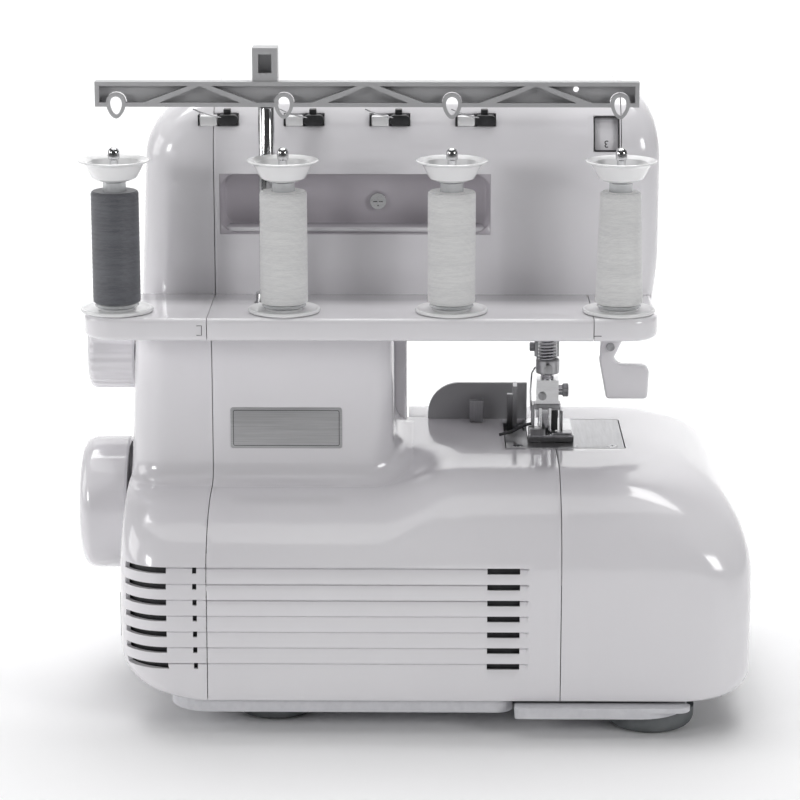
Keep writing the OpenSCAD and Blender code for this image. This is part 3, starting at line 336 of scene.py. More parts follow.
FINISHES = {
    "shell_white": moulded("shell white", tone(0.80, 0.785, 0.815), tone(0.84, 0.828, 0.852), 0.17, 0.6),
    "clear_white": moulded("clear white", tone(0.86, 0.86, 0.87), tone(0.9, 0.9, 0.9), 0.22, 0.35),
    "guide_grey": moulded("guide grey", tone(0.42, 0.42, 0.43), tone(0.48, 0.48, 0.49), 0.38, 0.1, 0.02),
    "dark_plastic": grained("dark plastic", tone(0.018, 0.018, 0.02), tone(0.035, 0.035, 0.038), 0.5),
    "pan_plastic": grained("pan plastic", tone(0.66, 0.66, 0.69), tone(0.72, 0.72, 0.75), 0.42),
    "foot_rubber": rubber("foot rubber", tone(0.12, 0.13, 0.135), tone(0.19, 0.2, 0.205)),
    "bright_steel": metal("bright steel", tone(0.55, 0.55, 0.56), tone(0.72, 0.72, 0.73), 0.14,
                          (60, 60, 900), 0.01),
    "steel": metal("ground steel", tone(0.36, 0.36, 0.37), tone(0.5, 0.5, 0.51), 0.32, (900, 60, 60),
                   0.02),
    "cast_metal": cast("cast metal", tone(0.36, 0.36, 0.37), tone(0.5, 0.5, 0.52)),
    "bronze": metal("turned bronze", tone(0.4, 0.24, 0.1), tone(0.55, 0.36, 0.17), 0.35, (900, 80, 80),
                    0.02),
    "belt_rubber": rubber("belt rubber", tone(0.015, 0.015, 0.015), tone(0.035, 0.035, 0.035)),
    "label_foil": foil("label foil"),
    "lamp_lens": moulded("lamp lens", tone(0.82, 0.82, 0.72), tone(0.88, 0.88, 0.8), 0.4, 0.1, 0.03,
                         500.0),
    "grey_thread": thread("slate thread", tone(0.045, 0.047, 0.055), tone(0.17, 0.175, 0.195), 0.55),
    "white_thread": thread("white thread", tone(0.6, 0.6, 0.61), tone(0.92, 0.92, 0.91), 0.55),
}
TUBE_CLEAR = clear_tube("tube clear")
# grip recess finish: the shell's white plastic painted darker and lilac, as painted shade inside the recess
RECESS_PAINTED_SHADE = moulded("recess painted shade", tone(0.5, 0.47, 0.51), tone(0.55, 0.52, 0.56), 0.3, 0.2)

# ---------------------------------------------------------------- mesh kit


def steps(stops, longest):
    """Values through every stop, evenly spaced between two stops and never further apart than longest."""
    parts = [
        np.linspace(a, b, max(1, math.ceil(abs(b - a) / longest)), endpoint=False)
        for a, b in zip(stops, stops[1:])
    ]
    return np.concatenate(parts + [[stops[-1]]])


def smooth(value, low, high):
    """0 below low, 1 above high, with no kink between them."""
    t = np.clip((value - low) / (high - low), 0, 1)
    return t * t * (3 - 2 * t)


def drawn_by(height, edge, r):
    """How far a quarter round of radius r, which ends at the height edge, has drawn a wall in at a
    height."""
    return r - np.sqrt(np.clip(r ** 2 - np.clip(height - edge + r, 0, r) ** 2, 0, None))


def xyz(x, y, z):
    """Stacks three arrays, broadcast to one shape, into points."""
    return np.stack(np.broadcast_arrays(x, y, z), -1).astype(float)


def patch(points, keep=None, around=False, tube=False, ends=False, inside=None):
    """Quads over a grid of points [n, m, 3].

    keep switches cells on and off. around joins the last row to the first, tube the last column to the
    first. ends closes the first and the last row with one face each. inside is a point that the faces look
    away from.
    """
    n, m = points.shape[:2]
    i = np.arange(n if around else n - 1)[:, None]
    j = np.arange(m if tube else m - 1)[None, :]
    i2, j2 = (i + 1) % n, (j + 1) % m
    quads = np.stack([i * m + j, i2 * m + j, i2 * m + j2, i * m + j2], -1)
    if keep is not None:
        quads = quads[keep]
    quads = quads.reshape(-1, 4)
    flat = points.reshape(-1, 3)
    if inside is not None:
        a, b, c, d = (flat[quads[:, k]] for k in range(4))
        outward = np.cross(c - a, d - b)
        if np.sum(outward * ((a + c) / 2 - np.asarray(inside, float))) < 0:
            quads = quads[:, ::-1]
    faces = quads.tolist()
    if ends:
        faces += [list(range(m)), list(range((n - 1) * m, n * m))]
    return flat, faces


def piece(name, patches, slot, body, wall=0.0, edge=0.0, closed=True, crease=35.0, stands_for=(),
          finish=None):
    """One object from patches. wall thickens an open skin inwards, edge rounds its sharp edges."""
    points, faces, count = [], [], 0
    for flat, own in patches:
        points.append(flat)
        faces += [[v + count for v in face] for face in own]
        count += len(flat)
    mesh = bpy.data.meshes.new(name)
    mesh.from_pydata((np.concatenate(points) * MM).tolist(), [], faces)
    tidy = bmesh.new()
    tidy.from_mesh(mesh)
    bmesh.ops.remove_doubles(tidy, verts=tidy.verts, dist=2e-6)
    bmesh.ops.dissolve_degenerate(tidy, edges=tidy.edges, dist=1e-6)
    if closed:
        bmesh.ops.recalc_face_normals(tidy, faces=tidy.faces)
    tidy.to_mesh(mesh)
    tidy.free()
    made = bpy.data.objects.new(name, mesh)
    bpy.context.scene.collection.objects.link(made)
    if wall:
        thick = made.modifiers.new("wall", "SOLIDIFY")
        thick.thickness, thick.offset = wall * MM, -1
    if edge:
        soften = made.modifiers.new("edge", "BEVEL")
        soften.width, soften.segments = edge * MM, 2
        soften.limit_method, soften.angle_limit = "ANGLE", math.radians(50)
    if wall or edge:
        ready = made.evaluated_get(bpy.context.evaluated_depsgraph_get())
        made.data = bpy.data.meshes.new_from_object(ready)
        made.modifiers.clear()
        bpy.data.meshes.remove(mesh)
    made.data.name = name
    made.data.polygons.foreach_set("use_smooth", np.ones(len(made.data.polygons), bool))
    made.data.set_sharp_from_angle(angle=math.radians(crease))
    made.data.materials.clear()
    made.data.materials.append(finish or FINISHES[slot])
    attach(made, body)
    if stands_for:
        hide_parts(*stands_for)
    return made


def turned(profile, centre, axis=2, sides=64):
    """A profile of (radius, height) points turned once round an axis through centre."""
    profile = np.asarray(profile, float)
    angle = np.linspace(0, 2 * np.pi, sides, endpoint=False)[:, None]
    radius, height = profile[None, :, 0], profile[None, :, 1]
    spun = xyz(radius * np.cos(angle), radius * np.sin(angle), height)
    order = {0: [2, 0, 1], 1: [0, 2, 1], 2: [0, 1, 2]}[axis]
    return patch(spun[..., order] + np.asarray(centre, float), around=True)


def ring(profile, centre, axis=2, sides=64):
    """A closed profile of (radius, height) points turned round an axis: a solid with a hole through
    it."""
    profile = np.asarray(profile, float)
    return turned(np.concatenate([profile, profile[:1]]), centre, axis, sides)


def corner(cx, cy, r, start, stop, count=6):
    """Points on an arc round (cx, cy), from start to stop degrees."""
    a = np.radians(np.linspace(start, stop, count))
    return np.stack([cx + r * np.cos(a), cy + r * np.sin(a)], -1)


def outline(x0, x1, y0, y1, r, count=6):
    """A rectangle with round corners, from its lower left corner round."""
    return np.concatenate([
        corner(x0 + r, y0 + r, r, 180, 270, count), corner(x1 - r, y0 + r, r, 270, 360, count),
        corner(x1 - r, y1 - r, r, 0, 90, count), corner(x0 + r, y1 - r, r, 90, 180, count)])


def drawn_in(loop, inset):
    """A closed outline moved inwards by inset along its corners' normals."""
    ahead, behind = np.roll(loop, -1, 0), np.roll(loop, 1, 0)
    first, second = ahead - loop, loop - behind
    first /= np.linalg.norm(first, axis=1, keepdims=True) + 1e-9
    second /= np.linalg.norm(second, axis=1, keepdims=True) + 1e-9
    along = first + second
    along /= np.linalg.norm(along, axis=1, keepdims=True) + 1e-9
    stretch = 1 / np.clip(np.sum(along * first, 1, keepdims=True), 0.5, 1)
    left = np.stack([-along[:, 1], along[:, 0]], -1)
    x, y = loop.T
    way = 1 if np.sum(x * np.roll(y, -1) - y * np.roll(x, -1)) > 0 else -1
    return loop + left * inset * way * stretch


def plate(loop, low, high, edge=0.4, axis=2):
    """An outline carried along an axis from low to high, drawn in at both ends by a quarter round."""
    a = np.linspace(0, np.pi / 2, 4)
    inset, rise = edge * (1 - np.sin(a)), edge * (1 - np.cos(a))
    levels = np.concatenate([low + rise, high - rise[::-1]])
    loops = np.stack([drawn_in(loop, d) for d in np.concatenate([inset, inset[::-1]])])
    points = xyz(loops[..., 0], loops[..., 1], levels[:, None])
    order = {0: [2, 0, 1], 1: [0, 2, 1], 2: [0, 1, 2]}[axis]
    return patch(points[..., order], tube=True, ends=True)


def block(x, y, z, r=1.0, edge=0.4, axis=2):
    """A rounded rectangle carried along an axis; the two other sizes give its sides."""
    sides = {0: (y, z, x), 1: (x, z, y), 2: (x, y, z)}[axis]
    (a0, a1), (b0, b1), (c0, c1) = sides
    return plate(outline(a0, a1, b0, b1, r), c0, c1, edge, axis)


def tube(path, radius, sides=16):
    """A circle carried along a path of points; radius is one value or one per point."""
    path = np.asarray(path, float)
    run = np.gradient(path, axis=0)
    run /= np.linalg.norm(run, axis=1, keepdims=True)
    lean = np.abs(run).sum(0).argmin()
    up = np.eye(3)[lean]
    side = np.cross(run, up)
    side /= np.linalg.norm(side, axis=1, keepdims=True)
    other = np.cross(run, side)
    a = np.linspace(0, 2 * np.pi, sides, endpoint=False)[None, :, None]
    radius = np.broadcast_to(radius, len(path))[:, None, None]
    points = path[:, None] + radius * (np.cos(a) * side[:, None] + np.sin(a) * other[:, None])
    return patch(points, tube=True, ends=True)


# ---------------------------------------------------------------- covers


def groove_depth(z):
    """Depth of the lapped boards at a height: a step in under each vent line that runs out to nothing
    at the next."""
    below = VENTS[:, None] - z[None, :]
    lap = np.where((below >= 0) & (below < 7.9), 0.9 * (1 - below / 7.9), 0).max(0)
    line = np.where((below >= 0) & (below < 0.96), 1.1, 0).max(0)
    return lap + line


def vent_rows():
    """Heights of grid rows on both edges of each vent line, slot and groove."""
    marks = np.concatenate([VENTS, VENTS - 1.0, VENTS - VENT_H])
    return np.sort(np.concatenate([marks, VENTS + 0.04, VENTS - 0.96]))


def rear_base():
    """Back and bed: a side profile carried along x. The profile is a wall, an elliptic shoulder and the bed.

    The shoulder's two radii and the bed's level change along x with a smooth step, so the bed sinks
    behind the column. Under each vent line the wall steps in and slopes back out.
    """
    x = np.unique(np.concatenate([
        steps([X_TABLE + GAP, X_TABLE + 15.6, X_TABLE + 16.4, X_TABLE + 19.9, X_TABLE + 35.4,
               PLATE_HI[0] + 0.5], 3.0),
        steps([PLATE_HI[0] + 0.5, X_COLUMN + 20, X_SEAM - GAP], 3.0)]))
    low = smooth(x, X_COLUMN - 34, X_COLUMN + 8)[:, None]
    depth = SHOULDER + (LOW_DEPTH - SHOULDER) * low
    rise = SHOULDER + (LOW_RISE - SHOULDER) * low
    z_wall = np.unique(np.concatenate([steps([Z_SILL, VENTS[-1] - 9], 4.0), vent_rows()]))[None, :]
    up = np.clip((z_wall - SHOULDER_Z) / rise, 0, 1)
    y_wall = Y_REAR - depth + depth * np.sqrt(1 - up ** 2)
    boards = smooth(x, X_TABLE + 15.6, X_TABLE + 16.4)[:, None] * groove_depth(z_wall[0])[None, :]
    start = np.arcsin((z_wall[0, -1] - SHOULDER_Z) / rise)
    angle = start + (np.pi / 2 - start) * np.linspace(0, 1, 26)[None, 1:]
    y_arc = Y_REAR - depth + depth * np.cos(angle)
    z_arc = SHOULDER_Z + rise * np.sin(angle)
    y_flat = steps([Y_REAR - SHOULDER - 4, PLATE_HI[1] + 0.5, PLATE_LO[1] - 0.5, Y_FRONT + 42], 4.0)[None,
        :]
    z_flat = Z_BED - (SHOULDER - rise) * smooth(y_flat, Y_ARM + 2, Y_COLUMN + 6)
    y = np.concatenate([y_wall - boards, y_arc, np.repeat(y_flat, len(x), 0)], 1)
    z = np.concatenate([np.repeat(z_wall, len(x), 0), z_arc, z_flat], 1)
    xm, ym, zm = ((v[1:, 1:] + v[:-1, :-1]) / 2 for v in (np.repeat(x[:, None], y.shape[1], 1), y, z))
    slot = (xm > X_TABLE + 19.9) & (xm < X_TABLE + 35.4) & (ym > SHOULDER)
    slot &= np.any((zm[..., None] < VENTS) & (zm[..., None] > VENTS - VENT_H), -1)
    seat = (xm < PLATE_HI[0] + 0.5) & (ym < PLATE_HI[1] + 0.5) & (ym > PLATE_LO[1] - 0.5)
    hidden = (xm > X_COLUMN + 20) & (ym < Y_COLUMN - 14)
    return patch(xyz(x[:, None], y, z), ~(slot | seat | hidden), inside=(0, 0, 40))


def column_skin():
    """Column wall: a plan path with one round corner, carried up. Its foot flares out by a quarter
    round."""
    r = 14.0
    path = np.concatenate([
        np.stack([steps([X_SEAM - GAP, X_COLUMN + r], 6.0),
                  0 * steps([X_SEAM - GAP, X_COLUMN + r], 6.0) + Y_COLUMN], -1),
        corner(X_COLUMN + r, Y_COLUMN - r, r, 90, 180, 14)[1:],
        np.stack([0 * steps([Y_COLUMN - r, Y_PANEL], 6.0) + X_COLUMN,
                  steps([Y_COLUMN - r, Y_PANEL], 6.0)], -1)[1:]])
    run = np.gradient(path, axis=0)
    out = np.stack([run[:, 1], -run[:, 0]], -1)
    out /= np.linalg.norm(out, axis=1, keepdims=True)
    toe = path + out * FILLET
    sunk = smooth(toe[:, 0], X_COLUMN - 34, X_COLUMN + 8) * smooth(toe[:, 1], Y_ARM + 2, Y_COLUMN + 6)
    foot = (Z_BED - (SHOULDER - LOW_RISE) * sunk)[:, None]
    a = np.linspace(0, np.pi / 2, 10)[None, :]
    flare = FILLET * np.concatenate([1 - np.sin(a), np.zeros((1, 12))], 1)
    lift = np.concatenate([foot + FILLET * (1 - np.cos(a)) - 0.03,
                           foot + FILLET + (Z_SHELF + 3 - foot - FILLET) * np.linspace(0, 1, 13)[None,
                               1:]], 1)
    points = xyz(path[:, None, 0] + out[:, None, 0] * flare, path[:, None, 1] + out[:, None, 1] * flare,
                 lift)
    return patch(points, inside=(X_SEAM - 20, -10, 150))


def arm_back():
    """Back of the arm: a profile carried along x, with openings for the grip, the guides and the dial."""
    x = np.unique(np.round(np.concatenate([
        steps([X_FACE, X_FACE + 0.6, X_FACE + 13.4, X_GRIP[0], X_GRIP[1], X_SEAM - GAP], 4.0),
        X_DIALS - 10, X_DIALS[1:] + 10]), 3))
    angle = np.radians(np.unique(np.concatenate([steps([0.0, 90.0], 5.0), WINDOW_ARC, DIAL_ARC])))
    low_r = 3.0
    foot = np.linspace(-np.pi / 2, 0, 5)
    y = np.concatenate([steps([Y_PANEL, Y_ARM - low_r], 6.0)[:-1], Y_ARM - low_r + low_r * np.cos(foot),
                        np.full(9, Y_ARM), Y_ARM - ARM_BACK_R + ARM_BACK_R * np.cos(angle),
                        steps([Y_ARM - ARM_BACK_R, Y_PANEL], 5.0)[1:]])
    under = len(steps([Y_PANEL, Y_ARM - low_r], 6.0)) - 1
    z = np.concatenate([np.full(under, Z_ARM), Z_ARM + low_r + low_r * np.sin(foot),
                        np.array([190, 199, 210, 219, Z_GRIP[0], 238, 248, Z_GRIP[1], 263]),
                        Z_TOP - ARM_BACK_R + ARM_BACK_R * np.sin(angle),
                        np.full(len(steps([Y_ARM - ARM_BACK_R, Y_PANEL], 5.0)) - 1, Z_TOP)])
    xm, ym, zm = (x[1:] + x[:-1])[:, None] / 2, (y[1:] + y[:-1])[None] / 2, (z[1:] + z[:-1])[None] / 2
    back = ym > Y_ARM - 22.5
    grip = (xm > X_GRIP[0]) & (xm < X_GRIP[1]) & (zm > Z_GRIP[0]) & (zm < Z_GRIP[1]) & back
    guide = np.any(np.abs(xm[..., None] - X_DIALS) < 10,
                   -1) & (zm > WINDOW_Z[0]) & (zm < WINDOW_Z[1]) & back
    dial = (xm > X_FACE + 0.6) & (xm < X_FACE + 13.4) & (zm > DIAL_Z[0]) & (zm < DIAL_Z[1]) & back
    throat = (xm < X_COLUMN + 8) | (zm > Z_ARM + 8)
    return patch(xyz(x[:, None], y[None], z[None]), ~(grip | guide | dial) & throat, inside=(0, -40, 230))


def shelf_part(x_from, x_to, round_end):
    """Shelf: a rounded edge profile carried along the free edge, filled in to the arm; both ends are
    closed."""
    edge = 2.4
    r = 16.0
    if round_end == 0:
        rim = np.stack([steps([x_from, x_to], 8.0), np.full(len(steps([x_from, x_to], 8.0)), Y_SHELF)],
                       -1)
    else:
        way = 1 if round_end > 0 else -1
        start, stop = (90, 0) if way > 0 else (90, 180)
        a = steps([x_from, x_to - way * r], 6.0)
        b = steps([Y_SHELF - r, Y_ARM], 6.0)
        rim = np.concatenate([np.stack([a, 0 * a + Y_SHELF], -1),
                              corner(x_to - way * r, Y_SHELF - r, r, start, stop, 14)[1:],
                              np.stack([0 * b + x_to, b], -1)[1:]])
    run = np.gradient(rim, axis=0)
    out = np.stack([run[:, 1], -run[:, 0]], -1)
    out *= np.sign(np.sum(out * (rim - [[(x_from + x_to) / 2, Y_ARM]]), 1, keepdims=True))
    out /= np.linalg.norm(out, axis=1, keepdims=True)
    a = np.linspace(0, np.pi / 2, 7)
    inset = np.concatenate([edge * (1 - np.sin(a)), edge * (1 - np.sin(a[::-1]))])[None, :]
    z = np.concatenate([Z_SHELF_TOP - edge * (1 - np.cos(a)), Z_SHELF + edge * (1 - np.cos(a[::-1]))])
    lip = xyz(rim[:, None, 0] - out[:, None, 0] * inset, rim[:, None, 1] - out[:, None, 1] * inset,
              z[None])
    along = np.concatenate([[0], np.cumsum(np.linalg.norm(np.diff(rim, axis=0), axis=1))])
    x_in = x_from + (x_to - x_from) * along / along[-1]
    for share, level, place in ((0.5, Z_SHELF_TOP, 0), (1.0, Z_SHELF_TOP, 0), (0.5, Z_SHELF, None),
                                (1.0, Z_SHELF, None)):
        edge_line = lip[:, 0] if place == 0 else lip[:, -1]
        if share == 0.5:
            mid = (edge_line + xyz(x_in, 0 * x_in + Y_ARM - 0.5, level + 0 * x_in)) / 2
        else:
            far = xyz(x_in, 0 * x_in + Y_ARM - 0.5, level + 0 * x_in)
            lip = np.concatenate([far[:, None], mid[:, None], lip] if place == 0 else [lip, mid[:, None],
                far[:, None]], 1)
    return patch(lip, tube=True, ends=True)


def end_sections(z, x_seam, x_wall, y_rear, y_front, r_rear, r_front, way, back_steps):
    """An end cover as plan sections, one per height, from the seam round the end and back to the seam.

    Each section is a straight back, an elliptic rear corner, the end wall, an elliptic front corner and a
    straight front. Corners shrink where a section is too small for them. way is 1 towards +X.
    """
    z, x_wall, y_rear, y_front, r_rear, r_front = (
        np.broadcast_to(v, len(z)).astype(float)[:, None] for v in (z, x_wall, y_rear, y_front, r_rear,
            r_front))
    span = np.abs(x_wall - x_seam)
    half = (y_rear - y_front) / 2
    ar, br = np.minimum(r_rear, span * 0.96), np.minimum(r_rear, half * 0.96)
    af, bf = np.minimum(r_front, span * 0.96), np.minimum(r_front, half * 0.96)
    turn = np.linspace(0, np.pi / 2, 15)[None, 1:]
    line = np.linspace(0, 1, 13)[None, 1:]
    back = np.asarray(back_steps)[None, :]
    x = np.concatenate([
        x_seam + (x_wall - way * ar - x_seam) * back, x_wall - way * ar * (1 - np.sin(turn)),
        x_wall + 0 * line,
        x_wall - way * af * (1 - np.cos(turn)), x_seam + (x_wall - way * af - x_seam) * (1 - line)], 1)
    y = np.concatenate([
        y_rear + 0 * back, y_rear - br * (1 - np.cos(turn)),
        y_rear - br + (y_front + bf - y_rear + br) * line,
        y_front + bf * (1 - np.sin(turn)), y_front + 0 * line], 1)
    return xyz(x, y, z)


def front_line(z):
    """Front of the housing at a height: base wall, small shoulder, column, sloping jaw and arm."""
    base = Y_FRONT + drawn_by(z, Z_BED, FRONT_R)
    arm = np.interp(z, [Z_ARM, Z_ARM + 14], [Y_FRONT + 6, Y_FRONT])
    crown = drawn_by(z, Z_TOP, ARM_FRONT_R)
    return np.where(z < Z_BED, np.minimum(base, Y_FRONT + 6),
                    np.where(z < Z_ARM, Y_FRONT + 6, arm + crown))


def side_cover():
    """Handwheel end: sections from the sill up the low shoulder, the column, the step in the shelf and
    the arm."""
    low = np.radians(np.linspace(0, 90, 9))
    z_low = Z_SILL + 22 * (1 - np.cos(low))
    z_wall = np.concatenate([z_low, vent_rows()[vent_rows() > z_low[-1] + 0.5],
                             vent_rows()[vent_rows() < z_low[-1] - 0.3]])
    z_wall = np.unique(np.round(z_wall, 4))
    up = np.clip((z_wall - SHOULDER_Z) / LOW_RISE, 0, 1)
    y_wall = Y_REAR - LOW_DEPTH * (1 - np.sqrt(1 - up ** 2))
    start = math.asin(up[-1])
    a = np.linspace(start, np.pi / 2, 22)[1:]
    f = np.linspace(0, np.pi / 2, 9)[1:]
    b = np.linspace(0, np.pi / 2, 16)
    z = np.concatenate([
        z_wall, SHOULDER_Z + LOW_RISE * np.sin(a), SHOULDER_Z + LOW_RISE + FILLET * (1 - np.cos(f)),
        np.linspace(122, Z_SHELF + 5, 10), np.linspace(Z_SHELF + 7, Z_TOP - ARM_FRONT_R, 12)[:-1],
        Z_TOP - ARM_FRONT_R + ARM_FRONT_R * np.sin(b)])
    straight = 10 + 11
    arm_z = Z_TOP - ARM_FRONT_R + ARM_FRONT_R * np.sin(b)
    y_top = Y_ARM - drawn_by(arm_z, Z_TOP, ARM_BACK_R)
    y_rear = np.concatenate([
        y_wall, Y_REAR - LOW_DEPTH * (1 - np.cos(a)), Y_REAR - LOW_DEPTH - FILLET * np.sin(f),
        np.full(10, Y_COLUMN), np.full(straight - 10, Y_ARM), y_top])
    x_lean = np.interp(z, [SHOULDER_Z, Z_SHELF, Z_TOP - ARM_FRONT_R],
                       [X_HOUSE, X_HOUSE - 5, X_HOUSE - 8.5])
    x_low = X_HOUSE - drawn_by(-z, -Z_SILL, 22)
    crown = drawn_by(z, Z_TOP, ARM_FRONT_R)
    x_wall = np.minimum(x_low, x_lean) - crown
    r_rear = 24 - 6 * smooth(z, 80, 120)
    back_steps = np.array([0, 0.1, 0.235, 0.34, 0.55, 0.8, 1.0])
    points = end_sections(z, X_SEAM, x_wall, y_rear, front_line(z), r_rear, 14.0, 1, back_steps)
    reach = (1 - smooth(np.arange(points.shape[1]), 6.0, 9.0))[None, :]
    points[..., 1] -= np.where(z < VENTS[0] + 0.5, groove_depth(z), 0)[:, None] * reach
    zm = ((z[1:] + z[:-1]) / 2)[:, None]
    column = np.arange(points.shape[1] - 1)[None, :]
    at_vent = np.any((zm[..., None] < VENTS) & (zm[..., None] > VENTS - VENT_H), -1)
    wide = at_vent & (column >= 6) & (column < 15)
    small = at_vent & (column == 2)
    x_cell, y_cell = points[:-1, :-1, 0], points[:-1, :-1, 1]
    inlet = (zm > 41) & (zm < 63) & (y_cell < 67) & (y_cell > 27) & (x_cell > X_HOUSE - 6)
    crown_cap = patch(np.stack([points[-1], points[-1] * [0, 1, 1] + [X_SEAM, 0, 0]]),
                      inside=(110, -40, 200))
    return [patch(points, ~(wide | small | inlet), inside=(105, 0, 100)), crown_cap]


def work_table():
    """Free end of the bed: sections round a big top radius, then the flat top drawn in to the needle
    plate's seat."""
    low = np.radians(np.linspace(0, 90, 7))
    a = np.radians(np.linspace(0, 90, 34))
    z = np.concatenate([Z_SILL + 12 * (1 - np.cos(low)), np.linspace(34, SHOULDER_Z, 10)[:-1],
                        SHOULDER_Z + SHOULDER * np.sin(a)])
    y_rear = Y_REAR - drawn_by(z, Z_BED, SHOULDER)
    y_front = Y_FRONT + drawn_by(z, Z_BED, FRONT_R)
    top = np.clip((z - (Z_BED - 46)) / 46, 0, 1)
    x_wall = X_FREE + drawn_by(-z, -Z_SILL, 12) + 44 * (1 - np.sqrt(1 - top ** 2))
    r_rear = 22 + 22 * smooth(z, 60, Z_BED)
    points = end_sections(z, X_TABLE, x_wall, y_rear, y_front, r_rear, 22.0, -1, np.linspace(0, 1, 12))
    n = points.shape[1]
    seat_x = [X_TABLE, PLATE_LO[0] - 0.5, PLATE_LO[0] - 0.5, X_TABLE]
    seat_y = [PLATE_HI[1] + 0.5] * 2 + [PLATE_LO[1] - 0.5] * 2
    s = np.linspace(0, 1, n)
    seat = xyz(np.interp(s, [0, 0.36, 0.66, 1], seat_x), np.interp(s, [0, 0.36, 0.66, 1], seat_y),
               Z_BED + 0 * s)
    inner = points[-1][None] + (seat - points[-1])[None] * np.linspace(0, 1, 7)[1:, None, None]
    return [patch(np.concatenate([points, inner]), inside=(-100, 0, 40))]


def face_cover():
    """Free end of the arm: sections with a leaning end and a deep round crown, and a closed underside."""
    b = np.radians(np.linspace(0, 90, 20))
    low = np.radians(np.linspace(0, 90, 5))
    lip = 3.0
    z = np.concatenate([Z_ARM + lip * (1 - np.cos(low)),
                        np.linspace(Z_ARM + 8, Z_TOP - ARM_FRONT_R, 14)[:-1],
                        Z_TOP - ARM_FRONT_R + ARM_FRONT_R * np.sin(b)])
    tuck = drawn_by(-z, -Z_ARM, lip)
    y_rear = Y_ARM - drawn_by(z, Z_TOP, ARM_BACK_R) - tuck
    rise = np.clip((z - Z_TOP + 36) / 36, 0, 1)
    x_wall = np.interp(z, [Z_ARM, Z_ARM + 36], [X_FACE_END + 4, X_FACE_END]) + tuck
    x_wall = x_wall + 19.8 * (1 - (1 - rise ** 2.3) ** (1 / 2.3))
    points = end_sections(z, X_FACE - GAP, x_wall, y_rear, front_line(z) + tuck, 14.0, 20.0, -1,
                          np.linspace(0, 1, 5))
    seam = points[:1] * [0, 1, 1] + [X_FACE - GAP, 0, 0]
    top = points[-1:] * [0, 1, 1] + [X_FACE - GAP, 0, 0]
    return [patch(np.concatenate([seam, points, top]), inside=(X_FACE, -40, 230))]


def front_panel():
    """Front of the arm and the column: the crown and the jaw carried along x, with four dial slots."""
    x = np.unique(np.concatenate([steps([X_FACE, X_COLUMN - 6, X_SEAM - GAP], 5.0), X_DIALS[1:] - 5,
                                  X_DIALS[1:] + 5, X_DIALS[:1] - 5]))
    b = np.radians(np.unique(np.concatenate([np.linspace(0, 90, 14), [4.2]])))[::-1]
    y = np.concatenate([[Y_PANEL - GAP, -50.0], Y_FRONT + ARM_FRONT_R - ARM_FRONT_R * np.cos(b),
                        np.full(6, Y_FRONT), [Y_FRONT + 6]])
    z = np.concatenate([[Z_TOP, Z_TOP], Z_TOP - ARM_FRONT_R + ARM_FRONT_R * np.sin(b),
                        [254, 244, 234, 224.5, 208, Z_ARM + 14], [Z_ARM]])
    xm, zm = (x[1:] + x[:-1])[:, None] / 2, (z[1:] + z[:-1])[None] / 2
    slot = np.any(np.abs(xm[..., None] - X_DIALS) < 5, -1) & (zm > 224.5) & (zm < 265.5)
    arm = patch(xyz(x[:, None], y[None], z[None]), ~slot, inside=(0, -40, 230))
    xu = x[x <= X_COLUMN - 6 + 0.01]
    under = patch(xyz(xu[:, None], np.array([[Y_FRONT + 6, -70.0, Y_PANEL - GAP]]), Z_ARM),
                  inside=(0, -60, 230))
    r = 6.0
    plan = np.concatenate([[[X_COLUMN + 3, Y_PANEL - GAP]],
                           corner(X_COLUMN - 4.5, Y_PANEL - GAP - 1.5, 1.5, 90, 180, 4),
                           corner(X_COLUMN - 6 + r, Y_FRONT + 6 + r, r, 180, 270, 8),
                           np.stack([steps([X_COLUMN + 8, X_SEAM - GAP], 8.0),
                                     0 * steps([X_COLUMN + 8, X_SEAM - GAP], 8.0) + Y_FRONT + 6], -1)])
    levels = np.linspace(Z_BED - 19.6, Z_ARM, 9)
    column = patch(xyz(plan[:, None, 0], plan[:, None, 1], levels[None]), inside=(60, -40, 140))
    return [arm, under, column]


def looper_cover():
    """Door under the throat: a flat front with a small shoulder, carried along x; beside the column it
    stops at a ledge."""
    x0, x1, x2 = LOOPER_LO[0], X_COLUMN - 7, LOOPER_HI[0]
    a = np.radians(np.linspace(0, 90, 9))
    y = np.concatenate([np.full(7, Y_FRONT), Y_FRONT + FRONT_R * (1 - np.cos(a)),
                        steps([Y_FRONT + FRONT_R, Y_FRONT + 41.6], 5.0)[1:]])
    z = np.concatenate([np.linspace(Z_SILL + 2, Z_BED - FRONT_R, 8)[:-1],
                        Z_BED - FRONT_R + FRONT_R * np.sin(a),
                        np.full(len(steps([Y_FRONT + FRONT_R, Y_FRONT + 41.6], 5.0)) - 1, Z_BED)])
    bed = patch(xyz(steps([x0, x1], 6.0)[:, None], y[None], z[None]), inside=(0, 0, 40))
    ledge_y = np.array([Y_FRONT] * 7 + [Y_FRONT + 0.6, Y_FRONT + 2, Y_FRONT + 9])
    ledge_z = np.concatenate([np.linspace(Z_SILL + 2, Z_BED - 22, 7),
                              [Z_BED - 20.6, Z_BED - 20, Z_BED - 20]])
    ledge = patch(xyz(steps([x1, x2], 6.0)[:, None], ledge_y[None], ledge_z[None]), inside=(50, 0, 40))
    return [bed, ledge]


